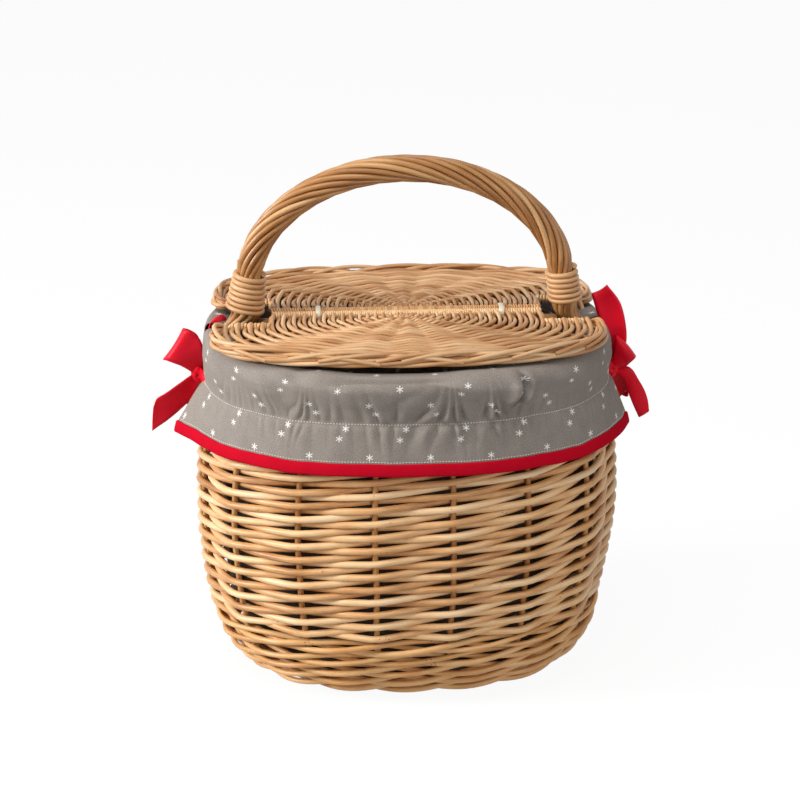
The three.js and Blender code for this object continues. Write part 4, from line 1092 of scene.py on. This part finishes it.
def add_ties():
    """Nylon straps drawn tight round the two edge rods and the bar."""
    for side in ("left", "right"):
        low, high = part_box(f"{side}_tie")
        x = (low.x + high.x) / 2
        bar_low, bar_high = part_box("centre_bar")
        bar = (0.0, (bar_low.z + bar_high.z) / 2, 0.005)
        rods = [(HINGE_OFFSET, HINGE_HEIGHT, 0.0045), (-HINGE_OFFSET, HINGE_HEIGHT, 0.0045), bar]
        angles_round = np.linspace(0, 2 * math.pi, 73)
        outline = []
        for angle in angles_round[:-1]:
            way = np.array([math.cos(angle), math.sin(angle)])
            y, z, r = max(rods, key=lambda rod: rod[0] * way[0] + rod[1] * way[1] + rod[2])
            outline.append([y + way[0] * (r + 0.0009), z + way[1] * (r + 0.0009)])
        outline = np.array(outline)
        rings = []
        for dx, dr in ((-0.0022, -0.0004), (-0.0022, 0.0004), (-0.0015, 0.0007), (0.0015, 0.0007), (0.0022, 0.0004), (0.0022, -0.0004), (0.0, -0.0006)):
            middle = outline.mean(axis=0)
            away = outline - middle
            away /= np.linalg.norm(away, axis=1)[:, None]
            ring = outline + away * dr
            rings.append(np.concatenate([np.full((len(ring), 1), x + dx), ring], axis=1))
        count = len(outline)
        points = np.concatenate(rings)
        faces = []
        for i in range(len(rings)):
            j = (i + 1) % len(rings)
            for k in range(count):
                n = (k + 1) % count
                faces.append([i * count + k, j * count + k, j * count + n, i * count + n])
        mesh = bpy.data.meshes.new(f"{side}_tie_strap")
        mesh.from_pydata(points.tolist(), [], faces)
        strap = bpy.data.objects.new(f"{side}_tie_strap", mesh)
        bpy.context.scene.collection.objects.link(strap)
        mesh.polygons.foreach_set("use_smooth", [True] * len(faces))
        mesh.materials.append(nylon_strap)
        outward(mesh)
        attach(strap, "basket")
        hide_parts(f"{side}_tie")


def outward(mesh):
    """Turns a closed mesh's faces outwards."""
    made = bmesh.new()
    made.from_mesh(mesh)
    bmesh.ops.recalc_face_normals(made, faces=made.faces)
    made.to_mesh(mesh)
    made.free()


# ---- Cloth


def cloth_piece(name, grid, uv, finish, thickness, closed=False, inner_finish=None):
    """A sheet from a grid of points with its lie on the cloth in metres, and its thickness inwards."""
    rows, columns = grid.shape[:2]
    index = np.arange(rows * columns).reshape(rows, columns)
    if closed:
        index = np.concatenate([index, index[:1]])
        uv = np.concatenate([uv, uv[:1] + [[[uv[-1, 0, 0] * rows / (rows - 1) - uv[0, 0, 0], 0.0]]]])
    quads = np.stack([index[:-1, :-1], index[1:, :-1], index[1:, 1:], index[:-1, 1:]], axis=-1)
    quads = quads.reshape(-1, 4)
    corners = np.stack([uv[:-1, :-1], uv[1:, :-1], uv[1:, 1:], uv[:-1, 1:]], axis=2).reshape(-1, 2)
    mesh = bpy.data.meshes.new(name)
    mesh.from_pydata(grid.reshape(-1, 3).tolist(), [], quads.tolist())
    layer = mesh.uv_layers.new(name="cloth")
    layer.data.foreach_set("uv", corners.astype(np.float32).ravel())
    mesh.polygons.foreach_set("use_smooth", [True] * len(quads))
    mesh.materials.append(finish)
    piece = bpy.data.objects.new(name, mesh)
    bpy.context.scene.collection.objects.link(piece)
    thick = piece.modifiers.new("thickness", "SOLIDIFY")
    thick.thickness = thickness
    thick.offset = -1.0
    if inner_finish:
        mesh.materials.append(inner_finish)
        thick.material_offset = 1
        thick.material_offset_rim = 1
    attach(piece, "basket")
    return piece


# Height, and distance outside the wall at the ends and at the sides, from inside the rim to the hem,
# and then the same where the cloth sags from the rim behind a lip
CUFF_ROWS = np.array(
    [
        [0.2980, -0.0250, -0.0170, 0.2980, -0.0250, -0.0170],
        [0.3060, -0.0240, -0.0164, 0.3060, -0.0240, -0.0164],
        [0.3115, -0.0195, -0.0150, 0.3110, -0.0195, -0.0150],
        [0.3162, -0.0140, -0.0125, 0.3148, -0.0140, -0.0125],
        [0.3182, -0.0070, -0.0065, 0.3152, -0.0070, -0.0065],
        [0.3172, 0.0014, 0.0040, 0.3138, 0.0008, 0.0004],
        [0.3142, 0.0034, 0.0086, 0.3096, 0.0020, 0.0024],
        [0.3100, 0.0046, 0.0114, 0.3098, 0.0040, 0.0066],
        [0.3050, 0.0054, 0.0122, 0.3132, 0.0052, 0.0104],
        [0.3000, 0.0056, 0.0108, 0.3074, 0.0062, 0.0134],
        [0.2940, 0.0048, 0.0084, 0.2965, 0.0054, 0.0106],
        [0.2870, 0.0032, 0.0058, 0.2880, 0.0036, 0.0068],
        [0.2805, 0.0016, 0.0040, 0.2810, 0.0018, 0.0044],
        [0.2752, 0.0009, 0.0030, 0.2752, 0.0009, 0.0030],
        [0.2715, 0.0022, 0.0042, 0.2715, 0.0022, 0.0042],
        [0.2620, 0.0038, 0.0047, 0.2620, 0.0038, 0.0047],
        [0.2500, 0.0046, 0.0050, 0.2500, 0.0046, 0.0050],
        [0.2400, 0.0052, 0.0053, 0.2400, 0.0052, 0.0053],
        [0.2310, 0.0056, 0.0057, 0.2310, 0.0056, 0.0057],
    ]
)
CASING_HEIGHT = 0.2752
HEM_TOP = 0.2416
HEM_BOTTOM = 0.2311


def puckers(way, spacing, seed):
    """Gathers along a drawn thread: round bulges that meet in narrow creases, 0 to 1."""
    place = way / spacing + waver(way, spacing * 6, 0.26, seed)
    return np.abs(np.sin(math.pi * place)) ** 0.7 * (1 + waver(way, spacing * 3, 0.35, seed + 9)) - 0.62


def cuff_level(height, out=0.0):
    """One level of the cuff below the rim, for its hem and its stitches."""
    tall, ends, sides = CUFF_ROWS[::-1, :3].T[:, :8]
    row = [height, np.interp(height, tall, ends) + out, np.interp(height, tall, sides) + out]
    return np.array([row + row])


def cuff_surface(u, rows, seed):
    """Points of the front cuff: u goes from -1 at the left slit to 1 at the right one."""
    u = u[:, None]
    way = RIM_LENGTH * 1.55 * u
    sag = np.exp(-(((way + 0.018) / 0.042) ** 4)) + 0.5 * np.exp(-(((way + 0.092) / 0.013) ** 2))
    plain, sagging = rows[:, :3].T[:, None, :], rows[:, 3:].T[:, None, :]
    height, out_ends, out_sides = plain * (1 - sag) + sagging * sag
    down = np.clip((0.316 - height) / 0.0744, 0, 1)
    outside = np.clip((0.3185 - height) / 0.012, 0, 1) * (out_sides > -0.004)
    half_length, half_depth = wall_size(np.minimum(height, WALL_HEIGHT))
    slit = 0.009 + 0.022 * down
    slit_angle = np.arcsin((slit / half_depth) ** (OVAL_POWER / 2))
    angle = -math.pi / 2 + u * (math.pi / 2 - slit_angle)
    x_share = np.sign(np.cos(angle)) * np.abs(np.cos(angle)) ** (2 / OVAL_POWER)
    y_share = np.sign(np.sin(angle)) * np.abs(np.sin(angle)) ** (2 / OVAL_POWER)

    above = np.maximum(height - CASING_HEIGHT, 0)
    below = np.maximum(CASING_HEIGHT - height, 0)
    drawn = 0.3 + 0.3 * np.exp(-(((way + 0.100) / 0.034) ** 2)) + 2.0 * np.exp(-(((way - 0.034) / 0.056) ** 4))
    upper = above / 0.0068 * np.exp(1 - above / 0.0068)
    lower = below / 0.0052 * np.exp(1 - below / 0.0052)
    lean = waver(way, 0.09, 0.5, seed + 6)
    gathers = puckers(way + lean * above, 0.0118, seed) * upper * 0.0034 * drawn
    gathers = gathers + puckers(way - 0.5 * lean * below, 0.0108, seed + 1) * lower * 0.0022 * drawn
    bulges = waver(way + 0.8 * (height - 0.3), 0.1, 0.0019, seed + 2) * np.exp(-(((height - 0.300) / 0.014) ** 2))
    slack = waver(way + 0.3 * height, 0.06, 0.0008, seed + 3) * np.exp(-(((height - 0.252) / 0.012) ** 2))

    fall = np.clip((0.316 - height) / 0.030, 0, 1)
    from_fold = way - (0.0815 + 0.026 * fall - 0.036 * fall**2)
    depth = np.clip((height - 0.284) / 0.010, 0, 1) * outside
    fold = 0.0042 * np.exp(-(((from_fold + 0.0090) / 0.0060) ** 2)) - 0.0092 * np.exp(-((from_fold / 0.0030) ** 2))
    fold = fold + 0.0034 * np.exp(-(((from_fold - 0.0075) / 0.0045) ** 2))
    fallen = np.clip((0.2745 - height) / 0.0335, 0, 1)
    flare = (0.0155 * (u < 0) + 0.0065 * (u > 0)) * np.abs(u) ** 9 * fallen
    out = gathers * outside + bulges * outside + slack + fold * depth + flare
    height = height + 0.0005 * waver(way, 0.12, 1.0, seed + 4) * outside
    return np.stack(
        [
            (half_length + out_ends + out) * x_share,
            (half_depth + out_sides + out) * y_share,
            height + 0.0 * x_share,
        ],
        axis=-1,
    )


def lengths_on(grid):
    """How far along and down the cloth each point of a grid lies, in metres."""
    along = np.linalg.norm(np.diff(grid, axis=0), axis=2)
    along = np.concatenate([np.zeros((1, grid.shape[1])), np.cumsum(along, axis=0)])
    down = np.linalg.norm(np.diff(grid, axis=1), axis=2)
    down = np.concatenate([np.zeros((grid.shape[0], 1)), np.cumsum(down, axis=1)], axis=1)
    middle = along.shape[0] // 2
    return along - along[middle], down


def add_cuff(name, turned, seed):
    flip = np.array([-1.0, -1.0, 1.0]) if turned else np.array([1.0, 1.0, 1.0])
    rows = smooth_path(CUFF_ROWS, 110)
    rows = rows[rows[:, 0] > HEM_BOTTOM + 0.004]
    u = np.linspace(-1, 1, 441)
    grid = cuff_surface(u, rows, seed) * flip
    along, down = lengths_on(grid)
    shared = along[:, -1:] * 0.97 + 0 * along
    from_hem = down[len(u) // 2, -1] - down[len(u) // 2][None, :] + 0 * down
    uv = np.stack([shared + 0.0100, from_hem + 0.00625], axis=-1)
    cuff = cloth_piece(f"cuff_{name}_cloth", grid[:, ::-1], uv[:, ::-1], grey_cotton, 0.0011)
    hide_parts(f"cuff_{name}")

    profile = (
        (HEM_TOP, -0.0016),
        (HEM_BOTTOM + 0.0014, -0.0018),
        (HEM_BOTTOM + 0.0003, -0.0012),
        (HEM_BOTTOM, 0.0),
        (HEM_BOTTOM + 0.0004, 0.0009),
        (HEM_BOTTOM + 0.0018, 0.0013),
        (HEM_BOTTOM + 0.0052, 0.0013),
        (HEM_TOP - 0.0012, 0.0012),
        (HEM_TOP - 0.0003, 0.0009),
        (HEM_TOP, 0.0002),
    )
    columns = [cuff_surface(u, cuff_level(height, out), seed)[:, 0] for height, out in profile]
    hem_grid = np.stack(columns, axis=1) * flip
    hem_grid = hem_grid[:, ::-1]
    along, down = lengths_on(hem_grid)
    hem = cloth_piece(f"hem_{name}_binding", hem_grid, np.stack([along, down], axis=-1), red_cotton, 0.0004)
    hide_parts(f"hem_{name}")

    stitched = []
    fine = np.linspace(-0.985, 0.985, 900)
    for height in (CASING_HEIGHT, HEM_TOP + 0.0018):
        stitched.append((cuff_surface(fine, cuff_level(height, 0.0003), seed)[:, 0] * flip, 0.0004))
    stitches = grown(
        f"cuff_{name}_stitches",
        line_mesh(f"cuff_{name}_stitches", stitched),
        stitches_to_mesh,
        {"Spacing": 0.0026, "Length": 0.0015, "Thickness": 0.0008, "Finish": white_thread},
    )
    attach(stitches, "basket")


def add_liner_bag():
    """The bag inside: one sheet that hangs from the rim, lies on the base and has soft upright folds."""
    heights = np.array([0.0215, 0.0212, 0.0213, 0.0225, 0.030, 0.052, 0.090, 0.150, 0.210, 0.260, 0.290, 0.3055])
    shares = np.array([0.02, 0.45, 0.82, 0.95, 0.995, 1.0, 1.0, 1.0, 1.0, 1.0, 1.0, 1.0])
    fine = smooth_path(np.stack([heights, shares, 0 * heights], axis=1), 90)
    order = np.linspace(0, len(heights) - 1, 90)
    heights = np.interp(order, np.arange(len(heights)), heights)
    shares = np.interp(order, np.arange(len(shares)), shares)
    turn = np.arange(320) / 320
    across, along = oval(turn)
    half_length, half_depth = wall_size(np.maximum(heights, 0.04))
    hang = 0.0065 * np.clip((heights - 0.03) / 0.05, 0, 1) * np.clip((0.302 - heights) / 0.03, 0, 1)
    half_length, half_depth = half_length - hang, half_depth - hang
    folds = waver(turn[:, None] * 1.1, 0.06, 0.0012, 500) * (shares > 0.9) * np.clip((heights - 0.03) / 0.04, 0, 1)
    folds = -np.abs(folds)
    beside_leg = np.abs(along) * BODY_DEPTH / 2
    fuller = 0.0105 * np.exp(-(((beside_leg - 0.058) / 0.032) ** 4))[:, None] * np.clip((heights - 0.04) / 0.04, 0, 1)
    fuller = fuller * np.clip((0.296 - heights) / 0.03, 0, 1) * (np.abs(across) > 0.5)[:, None]
    grid = np.stack(
        [
            (half_length - 0.0246 + folds + fuller) * shares * across[:, None],
            (half_depth - 0.0166 + folds) * shares * along[:, None],
            heights[None, :] + 0 * across[:, None],
        ],
        axis=-1,
    )
    down = np.concatenate([[0], np.cumsum(np.linalg.norm(np.diff(grid[0], axis=0), axis=1))])
    uv = np.stack([turn[:, None] * 1.026 + 0 * down, down[None, :] + 0 * turn[:, None]], axis=-1)
    # The bag's wrong side is darkened as painted shade
    bag = cloth_piece("liner_bag_cloth", grid, uv, grey_wrong_side_painted_shade, 0.0009, closed=True, inner_finish=grey_cotton)
    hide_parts("liner_bag")


def ribbon(stations, count=44, across=9, crown=0.0012, seed=0):
    """A strip of ribbon as a grid: each station is a point in millimetres, then the half width's
    direction and length in millimetres."""
    path = smooth_path(np.array(stations, float) / 1000, count)
    middle, half = path[:, :3], path[:, 3:]
    share = np.linspace(-1, 1, across)
    tangent = np.gradient(middle, axis=0)
    normal = np.cross(tangent, half)
    normal /= np.maximum(np.linalg.norm(normal, axis=1), 1e-9)[:, None]
    way = np.concatenate([[0], np.cumsum(np.linalg.norm(np.diff(middle, axis=0), axis=1))])
    grid = middle[:, None] + half[:, None] * share[None, :, None]
    lift = crown * (1 - share[None, :] ** 2) + waver(way, 0.05, 0.0006, seed)[:, None] * share[None, :]
    grid = grid + normal[:, None] * lift[:, :, None]
    across_way = np.linalg.norm(half, axis=1)[:, None] * share[None, :]
    return grid, np.stack([across_way, way[:, None] + 0 * across_way], axis=-1)


BOWS = {
    "left_bow": {
        "big_loop": [
            (-187, -5, 277, 3, 0, 3),
            (-189.5, -8, 287, 8, -1, 7),
            (-196, -10, 298, 11, -2, 12.5),
            (-206, -8, 303, 9.5, -2, 15),
            (-209, -2, 302, 9.5, -1, 15),
            (-205, 4, 300, 9.5, 0, 14),
            (-196, 6, 295, 9, 0, 12),
            (-189.5, 5, 284, 6, 0, 6),
            (-186.5, 3, 277, 2.5, 0, 3),
        ],
        "back_loop": [
            (-185, 4, 276, 2, 2, 3),
            (-180, 9, 292, 3, 6, 1),
            (-175, 13, 308, 4, 8, 1),
            (-170, 16, 320, 4, 8, 1),
            (-166, 17, 318, 4, 8, 1),
            (-168, 15, 306, 4, 8, 1),
            (-176, 10, 290, 3, 6, 1),
            (-184, 6, 277, 2, 3, 2),
        ],
        "long_tail": [
            (-187, -4, 274, -1, 0, 3),
            (-197, -8, 262, -5, -1, 7),
            (-212, -12, 250, -5.5, -2, 9.5),
            (-222, -14, 243, -3, -2, 11.5),
            (-229, -15, 236, 1, -2, 12.5),
        ],
        "short_tail": [
            (-186, 2, 270, 3, 3, 5),
            (-193, 6, 258, 7, 4, 9),
            (-200, 10, 246, 8, 4, 10),
        ],
    },
    "right_bow": {
        "big_loop": [
            (188, -2, 276, 3, 0, 1),
            (189, -5, 290, 9, -1, 2),
            (188, -6, 315, 9.5, -2, 4),
            (182, -4, 333, 9.5, -2, 5),
            (175, 0, 346, 7, -2, 4),
            (175, 5, 345, 7, -2, 4),
            (181, 9, 328, 8, 0, 4),
            (186, 8, 305, 7, 0, 3),
            (188, 4, 282, 3, 0, 1),
        ],
        "side_loop": [
            (189, -5, 274, -2, 0, 3),
            (193, -10, 284, -5.5, -1, 8),
            (198, -14, 296, -8.5, -1, 11),
            (199.5, -9, 296, -8.5, -1, 11),
            (194, -7, 284, -6, 0, 8),
            (189, -3, 274, -2, 0, 3),
        ],
        "long_tail": [
            (189, -3, 271, 1, 0, 3),
            (198.5, -6, 270, 3, 0, 5),
            (207, -7, 256.5, 5.5, -1, 4.5),
            (214, -8, 240.5, 6, -1, 4),
            (217.5, -8, 229, 4.5, -1, 3.5),
        ],
        "short_tail": [
            (187, 3, 268, 3, -3, 5),
            (192, 8, 256, 6, -4, 9),
            (199, 10, 242, 7, -4, 9),
        ],
    },
}


def add_bow(name, seed):
    side = -1 if name == "left_bow" else 1
    for k, (part, stations) in enumerate(BOWS[name].items()):
        grid, uv = ribbon(stations, seed=seed + k)
        cloth_piece(f"{name}_{part}", grid, uv, red_satin, 0.0007)
    turn = np.linspace(0, 2 * math.pi, 37)[:-1]
    share = np.linspace(-1, 1, 13)
    barrel = np.sqrt(1 - 0.998 * share**4)
    knot = np.stack(
        [
            (side * 0.1875 + 0.0062 * np.cos(turn)[:, None] * barrel[None, :]),
            0.0075 * share[None, :] + 0.0 * turn[:, None],
            0.2735 + (0.0090 * np.sin(turn)[:, None] + 0.0006 * np.sin(5 * turn)[:, None]) * barrel[None, :],
        ],
        axis=-1,
    )
    knot_uv = np.stack([turn[:, None] * 0.009 + 0 * share, 0.009 * share[None, :] + 0 * turn[:, None]], axis=-1)
    cloth_piece(f"{name}_knot", knot, knot_uv, red_satin, 0.0004, closed=True)
    for k, end in enumerate((-1, 1)):
        stations = [
            (side * 186, end * 3, 274, 0, 0, 6),
            (side * 184, end * 11, 275, 0.5, 0, 6),
            (side * 181.5, end * 21.5, 275.2, 1, 0, 5),
            (side * 178, end * 31, 275.4, 1, 0, 4),
        ]
        grid, uv = ribbon(stations, count=16, seed=seed + 20 + k)
        cloth_piece(f"{name}_lead_{k + 1}", grid, uv, red_satin, 0.0007)
    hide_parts(name)


# ---- Floor, light and camera


def add_stage():
    mesh = bpy.data.meshes.new("floor")
    reach = 12.0
    mesh.from_pydata([(-reach, -reach, 0), (reach, -reach, 0), (reach, reach, 0), (-reach, reach, 0)], [], [(0, 1, 2, 3)])
    floor = bpy.data.objects.new("floor", mesh)
    bpy.context.scene.collection.objects.link(floor)
    material = bpy.data.materials.new("plain white floor")
    material.use_nodes = True
    tree = material.node_tree
    tree.nodes.clear()
    paint = add_node(tree, "ShaderNodeBsdfDiffuse", inputs={"Color": (0.42, 0.42, 0.42, 1.0)})
    shine = add_node(tree, "ShaderNodeEmission", inputs={"Color": (1.0, 1.0, 1.0, 1.0), "Strength": 1.17})
    seen = add_node(tree, "ShaderNodeLightPath")
    rays = seen.outputs["Is Camera Ray"]
    for other in ("Is Glossy Ray", "Is Transmission Ray"):
        rays = add_node(tree, "ShaderNodeMath", {"operation": "MAXIMUM"}, {0: rays, 1: seen.outputs[other]}).outputs["Value"]
    white = add_node(tree, "ShaderNodeMath", {"operation": "MULTIPLY"}, {0: rays, 1: 0.8}).outputs["Value"]
    mixed = add_node(
        tree, "ShaderNodeMixShader", inputs={"Fac": white, 1: paint.outputs["BSDF"], 2: shine.outputs["Emission"]}
    )
    add_node(tree, "ShaderNodeOutputMaterial", inputs={"Surface": mixed.outputs["Shader"]})
    mesh.materials.append(material)

    world = bpy.data.worlds.new("studio")
    bpy.context.scene.world = world
    world.use_nodes = True
    tree = world.node_tree
    tree.nodes.clear()
    seen = add_node(tree, "ShaderNodeLightPath")
    rays = seen.outputs["Is Camera Ray"]
    for other in ("Is Glossy Ray", "Is Transmission Ray"):
        rays = add_node(tree, "ShaderNodeMath", {"operation": "MAXIMUM"}, {0: rays, 1: seen.outputs[other]}).outputs["Value"]
    strength = add_node(
        tree, "ShaderNodeMapRange", inputs={"Value": rays, "To Min": 0.17, "To Max": 1.0}
    ).outputs["Result"]
    sky = add_node(tree, "ShaderNodeBackground", inputs={"Color": (1.0, 1.0, 1.0, 1.0), "Strength": strength})
    add_node(tree, "ShaderNodeOutputWorld", inputs={"Surface": sky.outputs["Background"]})

    for name, place, size, power in (
        ("key", (-2.6, -0.45, 1.15), 0.9, 77.5),
        ("fill", (1.3, -2.2, 1.0), 1.2, 17.5),
        ("top", (-0.5, -0.7, 2.4), 1.6, 27.5),
    ):
        lamp = bpy.data.lights.new(name, "AREA")
        lamp.energy = power
        lamp.size = size
        lamp.shape = "DISK"
        holder = bpy.data.objects.new(name, lamp)
        holder.location = place
        aim = Vector((0, 0, 0.22)) - Vector(place)
        holder.rotation_euler = aim.to_track_quat("-Z", "Y").to_euler()
        bpy.context.scene.collection.objects.link(holder)


def add_camera():
    camera = bpy.data.cameras.new("camera")
    camera.sensor_width = 36.0
    camera.lens = 36.0 * 2416 / 800
    camera.shift_x = -0.00725
    camera.shift_y = 0.00525
    holder = bpy.data.objects.new("camera", camera)
    holder.location = (-0.10820, -2.06449, 0.99244)
    aim = Vector((0, 0, 0.24)) - Vector(holder.location)
    turn = aim.to_track_quat("-Z", "Y").to_matrix().to_4x4()
    holder.rotation_euler = turn.to_euler()
    bpy.context.scene.collection.objects.link(holder)
    bpy.context.scene.camera = holder


add_camera()
add_stage()
add_side_weave()
add_lower_wale()
add_stakes()
add_borders()
add_base()
add_handle()
add_lid("front_lid", "front_lid", False, 21)
add_lid("back_lid", "back_lid", True, 22)
add_centre_bar()
add_ties()
add_liner_bag()
add_cuff("front", False, 31)
add_cuff("back", True, 61)
add_bow("left_bow", 700)
add_bow("right_bow", 720)
bpy.context.scene.view_settings.view_transform = "Standard"
